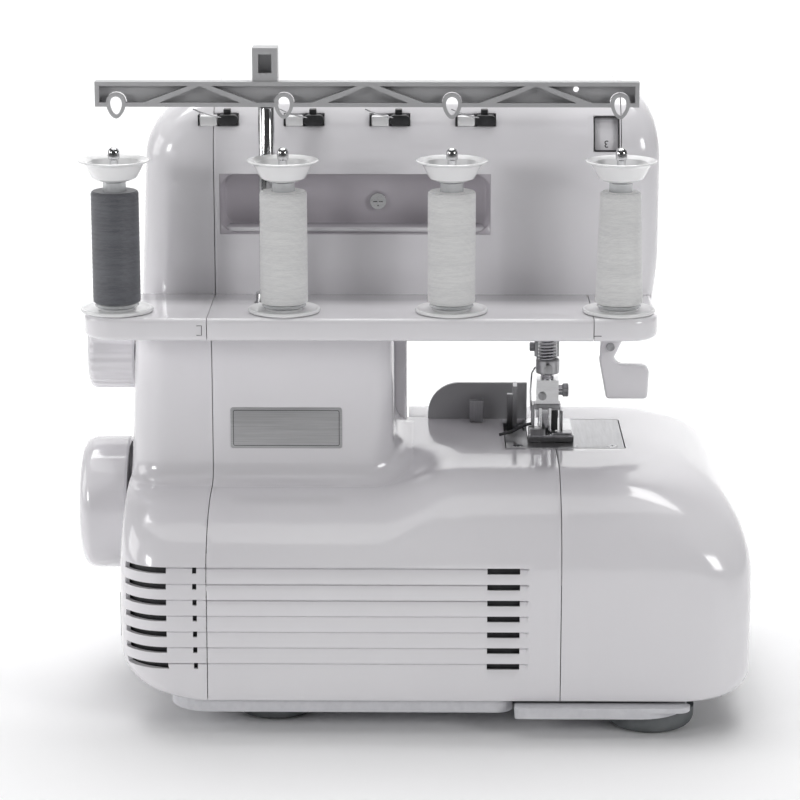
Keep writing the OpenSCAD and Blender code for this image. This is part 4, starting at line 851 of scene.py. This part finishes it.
piece("back_cover", [rear_base(), column_skin(), arm_back()], "shell_white", "machine", WALL, 0.25,
      closed=False,
      stands_for=("rear_cover",))
piece("handwheel_end_cover", side_cover(), "shell_white", "machine", WALL, 0.25, closed=False,
      stands_for=("side_cover",))
piece("arm_end_cover", face_cover(), "shell_white", "machine", WALL, 0.25, closed=False,
      stands_for=("face_cover",))
piece("table_cover", work_table(), "shell_white", "work_table", WALL, 0.25, closed=False,
      stands_for=("work_table",))
piece("arm_front_cover", front_panel(), "shell_white", "machine", WALL, 0.25, closed=False,
      stands_for=("front_panel",))
piece("door_cover", looper_cover(), "shell_white", "looper_cover", WALL, 0.25, closed=False,
      stands_for=("looper_cover",))
piece("door_grip", [block((28, 68), (Y_FRONT - 5, Y_FRONT + 0.5), (Z_BED - 32, Z_BED - 28), 1.5, 1.0)],
      "shell_white", "looper_cover")
piece("spool_shelf", [
    shelf_part(X_SEAM, X_SHELF_R, 1),
    shelf_part(X_SHELF_FACE + GAP, X_SEAM - GAP, 0),
    shelf_part(X_SHELF_FACE, X_SHELF_L, -1)], "shell_white", "machine", edge=0.2)

# ---------------------------------------------------------------- grip recess, vents and label



def grip_tray():
    """Recess: outlines of a rounded rectangle stepped back into the arm, square at the mouth, closed at
    the back."""
    loops = [(0.0, 0.3, 0.1), (0.5, 5.0, 0.15), (1.5, 7.5, 0.4), (8.0, 7.5, 0.9),
             (GRIP_DEEP - 2.0, 7.5, 1.3),
             (GRIP_DEEP - 0.6, 7.0, 2.0), (GRIP_DEEP, 6.0, 3.5)]
    rings = [xyz(*outline(X_GRIP[0] + d, X_GRIP[1] - d, Z_GRIP[0] + d, Z_GRIP[1] - d, r, 8).T,
                 Y_ARM - back - 0.1)[:, [0, 2, 1]]
             for back, r, d in loops]
    flat, faces = patch(np.stack(rings), tube=True)
    m = rings[0].shape[0]
    return flat, faces + [list(range(len(flat) - 1, len(flat) - m - 1, -1))]


# the recess takes the darker finish: painted shade inside it, over the same white plastic
piece("grip_recess", [grip_tray()], "shell_white", "machine", closed=False, finish=RECESS_PAINTED_SHADE)
Z_LEDGE = Z_GRIP[0]
piece("grip_ledge", [block((X_GRIP[0] + 2, X_GRIP[1] - 2), (Y_ARM - GRIP_DEEP - 0.2, Y_ARM - 2.5),
                           (Z_LEDGE + 0.5, Z_LEDGE + 3.0), 4, 1.0)],
      "shell_white", "machine")
# Near-black sheets behind the vent slots at the back and round the handwheel-end corner: painted shade where
# the machine's inside lies dark.
piece("vent_shade_backing", [
    block((X_TABLE + 17, X_TABLE + 38), (Y_REAR - 5, Y_REAR - 3.4), (VENTS[-1] - 6, VENTS[0] + 3), 1,
          0.3),
    block((X_SEAM + 3, X_SEAM + 8), (Y_REAR - 5, Y_REAR - 3.4), (VENTS[-1] - 6, VENTS[0] + 3), 1, 0.3),
    plate(np.concatenate([corner(X_HOUSE - 24, Y_REAR - 24, 20.4, 95, -2, 16),
                          corner(X_HOUSE - 24, Y_REAR - 24, 19.0, -2, 95, 16)]),
          VENTS[-1] - 6, VENTS[0] + 3, 0.3)], "dark_plastic", "machine")
piece("plate_label", [plate(outline(LABEL_LO[0], LABEL_HI[0], LABEL_LO[2], LABEL_HI[2], 1.2),
                            LABEL_LO[1] - 0.1, LABEL_HI[1], 0.12, 1)],
      "label_foil", "machine", stands_for=("rating_label",))

# ---------------------------------------------------------------- wheels and knobs

WHEEL_MID = (WHEEL_LO + WHEEL_HI) / 2
WHEEL_R = (WHEEL_HI[2] - WHEEL_LO[2]) / 2


def wheel_body():
    """Handwheel: a turned cup with a rolled rim, a dished face and a raised boss."""
    w = WHEEL_HI[0] - WHEEL_LO[0]
    rim = corner(WHEEL_R - 7, w - 7.5, 7, 0, 80, 9)
    profile = np.concatenate([
        [[8, 4], [WHEEL_R - 3, 4], [WHEEL_R - 2.6, 0.6], [WHEEL_R - 2, 0], [WHEEL_R - 0.8, 0.2],
         [WHEEL_R, 1.2]],
        [[WHEEL_R, w * 0.35]], rim, [[WHEEL_R - 11, w - 1.0], [WHEEL_R - 13, w - 2.2], [12, w - 2.6],
                                     [11, w - 2.2],
        [10.2, w - 0.5], [9.5, w - 0.1], [0, w]]])
    hub = [[0, 4], [8, 4]]
    return turned(np.concatenate([hub, profile[1:]]), (WHEEL_LO[0], WHEEL_MID[1], WHEEL_MID[2]), 0, 96)


piece("hand_wheel", [wheel_body()], "shell_white", "handwheel", stands_for=("handwheel",))


def knob(node, name, scallops, depth):
    """A knob: a turned profile whose radius waves round the rim, so it can be gripped."""
    low, high = box_mm(node)
    mid, r, w = (low + high) / 2, (high[2] - low[2]) / 2, high[0] - X_HOUSE + 2
    x0 = high[0] - w
    profile = np.concatenate([[[0, 0], [r - 1, 0], [r, 1.0]], corner(r - 4, w - 4, 4, 0, 90, 7),
                              [[r * 0.5, w - 0.2], [r * 0.42, w - 1], [0, w - 1]]])
    angle = np.linspace(0, 2 * np.pi, 144, endpoint=False)[:, None]
    wave = 1 - depth / r * (0.5 + 0.5 * np.cos(angle * scallops)) * smooth(profile[None, :, 0], r * 0.6,
        r)
    radius = profile[None, :, 0] * wave
    points = xyz(x0 + profile[None, :, 1], mid[1] + radius * np.cos(angle),
                 mid[2] + radius * np.sin(angle))
    hub = turned([[0, 0], [5, 0], [5, 12], [0, 12]], (low[0], mid[1], mid[2]), 0, 32)
    return piece(name, [patch(points, around=True), hub], "shell_white", node, stands_for=(node,))


knob("length_dial", "stitch_length_knob", 24, 0.5)
knob("differential_dial", "differential_knob", 18, 0.5)

# ---------------------------------------------------------------- thread stand

Z_CAP = SPOOLS[0][1][2] + 0.7
PIN_R = 2.8
PIN_TOP = box_mm("spool_pins")[1][2]


def pin(x):
    """Spool pin: a turned rod with a domed, waisted head."""
    dome = corner(0, PIN_TOP - PIN_R, PIN_R, 0, 90, 8)
    return turned(np.concatenate([[[0, Z_SHELF + 2], [PIN_R, Z_SHELF + 2], [PIN_R, PIN_TOP - 9],
                                   [PIN_R - 0.7, PIN_TOP - 8.4],
                                   [PIN_R - 0.7, PIN_TOP - 6.2], [PIN_R, PIN_TOP - 5.4]], dome]),
                                   (x, Y_PIN, 0), 2, 32)


def disc(x):
    """Spool disc: a thin turned dish with a raised rim and a hub."""
    r, t, z = 17.5, 2.0, Z_SHELF_TOP
    return ring([[2.9, z + 0.02], [r - 1.2, z + 0.02], [r - 0.2, z + 0.5], [r, z + 1.2],
                 [r - 0.3, z + 1.9], [r - 1, z + t],
                 [r - 1.8, z + 1.7], [r - 2.4, z + 1.3], [9, z + 1.3], [8.4, z + t - 0.05],
                 [2.9, z + t - 0.05]], (x, Y_PIN, 0), 2, 96)


def cap(x):
    """Spool cap: a turned dish with a wide thin lip, a cone below and a collar round the pin."""
    z = Z_CAP
    return ring([[3.0, z], [7.2, z], [8.4, z + 0.4], [10.6, z + 1.4], [12.4, z + 4.6], [13.8, z + 7.4],
                 [14.8, z + 8.5], [16.4, z + 9.0],
                 [17.0, z + 9.3], [17.0, z + 9.8], [16.5, z + 10.1], [14.4, z + 9.7], [12.6, z + 8.8],
                 [11.2, z + 6.0], [9.4, z + 2.9],
                 [5.2, z + 2.2], [4.8, z + 2.8], [4.6, z + 6.4], [4.1, z + 7.0], [3.0, z + 7.0]],
                 (x, Y_PIN, 0), 2, 96)


piece("pins", [pin(x) for x in X_PINS], "bright_steel", "machine", stands_for=("spool_pins",))
piece("discs", [disc(x) for x in X_PINS], "clear_white", "machine", stands_for=("spool_discs",))
piece("caps", [cap(x) for x in X_PINS], "clear_white", "machine", stands_for=("spool_caps",))


def wound(i, low, high):
    """Thread on a spool: a turned barrel, a little waisted, with soft shoulders and a fine bulge at
    each layer."""
    x = (low[0] + high[0]) / 2
    z0, z1 = low[2] + 2.2, high[2] - 4.2
    t = np.linspace(0, 1, 90)
    r_foot, r_head = ((11.4, 11.4), (11.45, 11.3), (11.4, 11.45), (11.45, 9.7))[i]
    r = r_foot + (r_head - r_foot) * t + 0.05 * np.sin(t * 2 * np.pi * 23 + i)
    r = r - 0.9 * (1 - np.sqrt(np.clip(1 - np.clip(1 - t / 0.03, 0, 1) ** 2, 0, 1)))
    r = r - 0.9 * (1 - np.sqrt(np.clip(1 - np.clip(1 - (1 - t) / 0.03, 0, 1) ** 2, 0, 1)))
    body = np.stack([r, z0 + (z1 - z0) * t], -1)
    inner = [[5.6, z1], [5.6, z0]]
    return ring(np.concatenate([body, inner]), (x, Y_PIN, 0), 2, 72)


for index, (low, high) in enumerate(SPOOLS):
    spool_body = f"thread_spool_{index + 1}"
    z0, z1 = low[2], high[2]
    x_spool = (low[0] + high[0]) / 2
    piece(f"wound_thread_{index + 1}", [wound(index, low, high)],
          "grey_thread" if index == 0 else "white_thread", spool_body,
          stands_for=(spool_body,))
    piece(f"spool_tube_{index + 1}", [ring([[3.9, z0], [5.2, z0], [9.8, z0 + 0.2], [10.6, z0 + 0.9],
                                            [10.2, z0 + 1.8], [5.5, z0 + 2.1],
                                            [5.5, z1 - 0.4], [5.2, z1], [4.2, z1], [3.9, z1 - 0.3]],
                                            (x_spool, Y_PIN, 0), 2, 48)],
          "clear_white", spool_body, finish=TUBE_CLEAR)

X_POLE, Y_POLE = (POLE_LO[0] + POLE_HI[0]) / 2, (POLE_LO[1] + POLE_HI[1]) / 2

# ---------------------------------------------------------------- thread guides on the arm


def guide_parts():
    """Four guides: a white half block, a dark half block with a round end, and a dark tab above."""
    pale, dark, leaf = [], [], []
    z0, z1 = WINDOW_Z[0] + 0.3, WINDOW_Z[1] - 0.3
    y0, y1 = Y_ARM - 20, Y_ARM - 1.5
    for x in X_DIALS:
        pale.append(block((x + 0.4, x + 9.0), (y0, y1 - 0.4), (z0, z1 - 0.6), 0.8, 0.4, 1))
        dark.append(block((x - 9.8, x + 0.2), (y0, y1), (z0, z1), 2.4, 0.5, 1))
        dark.append(block((x + 9.1, x + 9.8), (y0, y1), (z0, z1), 0.3, 0.1, 1))
        dark.append(block((x - 6.0, x - 2.6), (y1 - 7.5, y1 - 2.5), (z1 - 0.4, z1 + 2.4), 0.6, 0.3))
        t = np.linspace(0, 1, 14)
        leaf.append(tube(xyz(x - 3 + 15 * t, y1 - 0.6 + 1.2 * np.sin(t * 2.6), z1 - 1.2 + 4.2 * t ** 1.6),
                         0.35, 8))
    return pale, dark, leaf


GUIDE_PALE, GUIDE_DARK, GUIDE_LEAF = guide_parts()
piece("guide_pads", GUIDE_PALE, "clear_white", "machine")
piece("guide_clips", GUIDE_DARK, "dark_plastic", "machine", stands_for=("guide_blocks",))
piece("guide_leaves", GUIDE_LEAF, "bright_steel", "machine", stands_for=("guide_springs",))


def window_frame():
    """Dark gasket: a thin tube round the dial's window, on the arm's curved surface."""
    x0, x1 = X_FACE + 0.9, X_FACE + 13.1
    a0, a1 = DIAL_ARC[0] + 1, DIAL_ARC[1] - 1
    loop = outline(x0, x1, a0, a1, 1.6, 6)
    loop = np.concatenate([loop, loop[:1]])
    angle = np.radians(loop[:, 1])
    r = ARM_BACK_R - 0.35
    return tube(xyz(loop[:, 0], Y_ARM - ARM_BACK_R + r * np.cos(angle),
                    Z_TOP - ARM_BACK_R + r * np.sin(angle)), 0.5, 8)


piece("window_gasket", [window_frame()], "dark_plastic", "machine")

# ---------------------------------------------------------------- needle area

LIFT_LO, LIFT_HI = box_mm("lifter_lever")


def lifter_loop():
    """Outline of the lifter lever: a neck that widens in two soft steps into a square paddle."""
    x0, x1, z0, z1 = LIFT_LO[0], LIFT_HI[0], LIFT_LO[2], LIFT_HI[2]
    return np.concatenate([
        corner(x0 + 3, z0 + 2, 2, 180, 270, 4), corner(x1 - 5, z0 + 2, 2, 270, 340, 4),
        corner(x1 - 2.5, z0 + 20, 3, 0, 30, 3),
        corner(x1 - 5, z1 - 5, 5, 0, 90, 8), corner(x1 - 7.5, z1 - 3, 3, 90, 180, 4),
        corner(x0 + 13.0, z0 + 22.5, 5, 350, 270, 6),
        corner(x0 + 4.5, z0 + 13.5, 4, 90, 180, 6)])


piece("lifter", [plate(lifter_loop(), LIFT_LO[1], LIFT_HI[1], 1.2, 1)], "shell_white", "lifter_lever",
      stands_for=("lifter_lever",))

X_NEEDLE = box_mm("needle_bar")[0][0] + 3.2
Y_NEEDLE = (box_mm("needle_bar")[0][1] + box_mm("needle_bar")[1][1]) / 2
Y_PRESSER = Y_NEEDLE + 16
Z_SOLE = box_mm("presser_foot")[0][2]


def coil(centre, radius, z0, z1, turns, wire):
    """A spring: a circle carried along a helix round an upright axis."""
    t = np.linspace(0, 1, int(turns * 18))
    a = 2 * np.pi * turns * t
    return tube(xyz(centre[0] + radius * np.cos(a), centre[1] + radius * np.sin(a), z0 + (z1 - z0) * t),
                wire, 8)


def thumb_screw(x0, x1, y, z, r):
    """A knurled screw head along x: a turned profile whose radius has fine ridges."""
    profile = np.array([[0, 0], [r - 0.4, 0], [r, 0.4], [r, x1 - x0 - 0.4], [r - 0.4, x1 - x0],
                        [0, x1 - x0]])
    a = np.linspace(0, 2 * np.pi, 72, endpoint=False)[:, None]
    radius = profile[None, :, 0] * (1 - 0.05 * (0.5 + 0.5 * np.cos(a * 18)))
    return patch(xyz(x0 + profile[None, :, 1], y + radius * np.cos(a), z + radius * np.sin(a)),
                 around=True)


def presser_parts():
    """Cheeks, guide rods, spring, collar and thumb screw of the presser foot."""
    x, y, z = X_NEEDLE, Y_PRESSER, Z_SOLE
    steel = [block((x + 6.4, x + 7.8), (y - 7, y + 5), (z + 1.6, z + 17), 1.2, 0.3, 0),
             block((x - 7.8, x - 6.4), (y - 7, y + 5), (z + 1.6, z + 14), 1.2, 0.3, 0),
             block((x - 6.6, x + 6.6), (y - 2, y + 5.4), (z + 15, z + 18), 0.8, 0.3),
             block((x + 1, x + 9.6), (y + 4, y + 11.4), (z + 1.6, z + 6.4), 1.0, 0.5),
             block((x - 12.4, x - 2), (y + 3, y + 10.6), (z + 1.6, z + 4.2), 1.0, 0.5),
             ring([[3.3, z + 33], [5.6, z + 33], [6.0, z + 33.5], [6.0, z + 39.5], [5.6, z + 40],
                   [3.3, z + 40]], (x, y, 0), 2, 40),
             thumb_screw(x - 10.6, x - 7.6, y, z + 24, 3.4),
             turned([[0, 0], [1.3, 0], [1.3, 3.0], [2.2, 3.2], [2.2, 4.6], [0, 4.8]],
                    (x, y + 4.5, z + 36.5), 1, 24),
             turned([[0, 0], [1.5, 0], [2.0, 0.3], [2.0, 1.2], [0, 1.4]], (x + 2.6, y + 5.0, z + 22), 1,
                    24)]
    bright = [tube([[x + 3.6, y + 5.6, z + 3], [x + 3.6, y + 5.6, z + 10], [x + 3.6, y + 5.4, z + 16]],
                   1.1, 14),
              tube([[x - 1.2, y + 6.0, z + 3], [x - 1.2, y + 6.0, z + 10], [x - 1.2, y + 5.8, z + 16]],
                   0.9, 14),
              coil((x, y), 4.3, z + 40.2, z + 49, 5.5, 0.55),
              tube([[x + 8.2, y + 2, z + 14], [x + 8.6, y + 3, z + 24], [x + 8.0, y + 2, z + 33],
                    [x + 6.2, y + 1, z + 36]], 0.45, 10)]
    dark = [block((x - 5.2, x - 1.8), (y + 4.9, y + 5.3), (z + 4.6, z + 14.6), 0.5, 0.1),
            tube([[x + 7, y + 3, z + 7.5], [x + 12, y + 4, z + 6.4], [x + 18, y + 4, z + 3.2],
                  [x + 24, y + 3, z + 1.4]], 0.8, 10)]
    return steel, bright, dark


def needle_parts():
    """Thread eyelet, guide wire and set screw on the needle clamp."""
    x, y, z = X_NEEDLE, Y_NEEDLE, box_mm("needle_clamp")[0][2]
    steel = [block((x - 6.2, x + 6.2), (y + 3.2, y + 4.8), (z + 3, z + 12.4), 1.0, 0.3),
             thumb_screw(x + 5.2, x + 8.6, y, z + 7, 2.3)]
    bright = [tube([[x - 5, y + 4.8, z + 2], [x - 5.6, y + 7, z - 1], [x - 3, y + 8.4, z - 2.2],
                    [x + 1, y + 8.4, z - 2.2],
                    [x + 4, y + 7, z - 1], [x + 4, y + 4.8, z + 2]], 0.4, 10)]
    return steel, bright


PRESSER_STEEL, PRESSER_BRIGHT, PRESSER_DARK = presser_parts()
piece("foot_cheeks", PRESSER_STEEL, "steel", "presser")
piece("foot_rods", PRESSER_BRIGHT, "bright_steel", "presser")
piece("foot_lever", PRESSER_DARK, "dark_plastic", "presser")
NEEDLE_STEEL, NEEDLE_BRIGHT = needle_parts()
piece("clamp_plate", NEEDLE_STEEL, "steel", "needle_bar")
piece("clamp_wire", NEEDLE_BRIGHT, "bright_steel", "needle_bar")

# ---------------------------------------------------------------- marks and inlays

DRUM_LO, DRUM_HI = box_mm("pressure_dial")


def drum_mark(name, letters, angle, size, flip):
    """A numeral laid on the dial: its flat outline is wrapped round the drum, height along the turn."""
    curve = bpy.data.curves.new(name, "FONT")
    curve.body, curve.size, curve.align_x, curve.align_y = letters, size, "CENTER", "CENTER"
    flat = bpy.data.objects.new(name, curve)
    scene.collection.objects.link(flat)
    mesh = bpy.data.meshes.new_from_object(flat.evaluated_get(bpy.context.evaluated_depsgraph_get()))
    bpy.data.objects.remove(flat)
    points = np.zeros(len(mesh.vertices) * 3)
    mesh.vertices.foreach_get("co", points)
    u, v = points.reshape(-1, 3)[:, :2].T * (-1 if flip else 1)
    r = (DRUM_HI[2] - DRUM_LO[2]) / 2 + 0.06
    a = math.radians(angle) + v / r
    middle = (DRUM_LO + DRUM_HI) / 2
    wrapped = xyz((DRUM_LO[0] + DRUM_HI[0]) / 2 - u, middle[1] + r * np.cos(a), middle[2] + r * np.sin(a))
    mesh.vertices.foreach_set("co", (wrapped * MM).ravel())
    mesh.materials.clear()
    mesh.materials.append(FINISHES["dark_plastic"])
    mesh.name = name
    made = bpy.data.objects.new(name, mesh)
    scene.collection.objects.link(made)
    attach(made, "pressure_dial")


for place, numeral in enumerate(("2", "3", "4", "1")):
    drum_mark(f"dial_numeral_{numeral}", numeral, 52 - 40 * place, 5.0, True)


def inlay(points, radius=0.17):
    return tube(np.asarray(points, float), radius, 6)


def label_border():
    x0, x1, z0, z1 = LABEL_LO[0] + 1.4, LABEL_HI[0] - 1.4, LABEL_LO[2] + 1.4, LABEL_HI[2] - 1.4
    loop = outline(x0, x1, z0, z1, 0.8)
    loop = np.concatenate([loop, loop[:1]])
    return inlay(xyz(loop[:, 0], LABEL_HI[1], loop[:, 1]), 0.14)


def snap_marks():
    """Fine joint lines of the shelf's clips: a small bracket beside one seam and a step beside the
    other."""
    y = Y_SHELF + 0.02
    left = [[X_SEAM + 4.6, y, Z_SHELF + 7.6], [X_SEAM + 2.2, y, Z_SHELF + 7.6],
            [X_SEAM + 2.2, y, Z_SHELF + 3.0],
            [X_SEAM + 4.6, y, Z_SHELF + 3.0]]
    right = [[X_SHELF_FACE + 0.2, y, Z_SHELF + 3.0], [X_SHELF_FACE - 3.4, y, Z_SHELF + 3.0]]
    return [inlay(left), inlay(right)]


piece("label_line", [label_border()], "dark_plastic", "machine")
piece("shelf_clip_lines", snap_marks(), "dark_plastic", "machine")

# ---------------------------------------------------------------- carried-over nodes

SHOWN_INSTEAD = {"rear_cover", "side_cover", "face_cover", "work_table", "front_panel", "looper_cover",
                 "rating_label", "handwheel",
                 "length_dial", "differential_dial", "spool_pins", "spool_discs", "spool_caps",
                 "thread_spool_1", "thread_spool_2",
                 "thread_spool_3", "thread_spool_4", "guide_blocks", "guide_springs", "lifter_lever"}
for row in frame["record"]["subparts"]:
    node = frame["nodes"][row["node"]]
    node.data.materials.clear()
    node.data.materials.append(FINISHES[row["material_slot"]])
    if row["node"] in SHOWN_INSTEAD:
        continue
    weld = node.modifiers.new("weld", "WELD")
    weld.merge_threshold = 1e-5
    soften = node.modifiers.new("edge", "BEVEL")
    soften.width, soften.segments = 0.25 * MM, 2
    soften.limit_method, soften.angle_limit = "ANGLE", math.radians(40)
    soften.harden_normals = True

# ---------------------------------------------------------------- camera, floor and light

lens = bpy.data.cameras.new("camera")
lens.lens, lens.sensor_width = 130.5, 36.0
camera = bpy.data.objects.new("camera", lens)
scene.collection.objects.link(camera)
camera.location = (-0.010, 1.411, 0.482)
camera.rotation_euler = Vector((0.01034, -0.97237, -0.23345)).to_track_quat("-Z", "Y").to_euler()
scene.camera = camera


def stage_floor():
    """Floor that runs up into a back wall: a straight run, a wide bend and a straight rise, carried
    along x."""
    bend = np.radians(np.linspace(-90, 0, 16))
    y = np.concatenate([[4.0, 0.0], -1.6 - 0.8 * np.cos(bend)])
    z = np.concatenate([[0.0, 0.0], 0.8 + 0.8 * np.sin(bend)])
    y, z = np.append(y, y[-1]), np.append(z, 4.0)
    x = np.linspace(-4.0, 4.0, 9)
    flat, faces = patch(xyz(x[:, None], y[None], z[None]), inside=(0, 0, -5))
    mesh = bpy.data.meshes.new("floor")
    mesh.from_pydata(flat.tolist(), [], faces)
    mesh.polygons.foreach_set("use_smooth", np.ones(len(mesh.polygons), bool))
    floor = bpy.data.objects.new("floor", mesh)
    scene.collection.objects.link(floor)
    shade = Shade("floor paper")
    paper = shade.noise(30.0, 3.0)
    floor.data.materials.append(shade.set(
        Base_Color=shade.blend(paper, tone(0.93, 0.93, 0.935), tone(0.95, 0.95, 0.955)),
        Roughness=0.6 + 0.1 * paper))


def lamp(name, place, target, size, power):
    """A square soft light that looks at a point."""
    light = bpy.data.lights.new(name, "AREA")
    light.size, light.energy = size, power
    made = bpy.data.objects.new(name, light)
    scene.collection.objects.link(made)
    made.location = place
    made.rotation_euler = (Vector(target) - Vector(place)).to_track_quat("-Z", "Y").to_euler()


stage_floor()
MIDDLE = (0.0, 0.0, 0.15)
lamp("top", (0.1, -0.1, 1.6), MIDDLE, 1.5, 9)
lamp("right strip", (-1.3, 1.0, 0.7), MIDDLE, 0.5, 7)
lamp("left strip", (1.2, 1.1, 0.6), MIDDLE, 0.35, 5)
lamp("end fill", (1.6, 0.0, 0.6), MIDDLE, 0.8, 5)
lamp("backdrop wash", (0.0, -0.9, 2.4), (0.0, -2.4, 0.9), 2.0, 60)


def room_light():
    """Light of the room by direction: brightest overhead, dimmer on the side that the back of the
    machine faces."""
    world = bpy.data.worlds.new("room")
    world.use_nodes = True
    tree = world.node_tree
    where = tree.nodes.new("ShaderNodeTexCoord")
    split = tree.nodes.new("ShaderNodeSeparateXYZ")
    tree.links.new(where.outputs["Generated"], split.inputs[0])
    up = tree.nodes.new("ShaderNodeMapRange")
    tree.links.new(split.outputs["Z"], up.inputs["Value"])
    for key, value in (("From Min", 0.0), ("From Max", 0.9), ("To Min", 1.15), ("To Max", 1.9)):
        up.inputs[key].default_value = value
    back = tree.nodes.new("ShaderNodeMapRange")
    tree.links.new(split.outputs["Y"], back.inputs["Value"])
    for key, value in (("From Min", -0.6), ("From Max", 0.6), ("To Min", 1.22), ("To Max", 0.99)):
        back.inputs[key].default_value = value
    both = tree.nodes.new("ShaderNodeMath")
    both.operation = "MULTIPLY"
    tree.links.new(up.outputs[0], both.inputs[0])
    tree.links.new(back.outputs[0], both.inputs[1])
    tree.links.new(both.outputs[0], tree.nodes["Background"].inputs["Strength"])
    scene.world = world


room_light()
scene.view_settings.view_transform = "Standard"
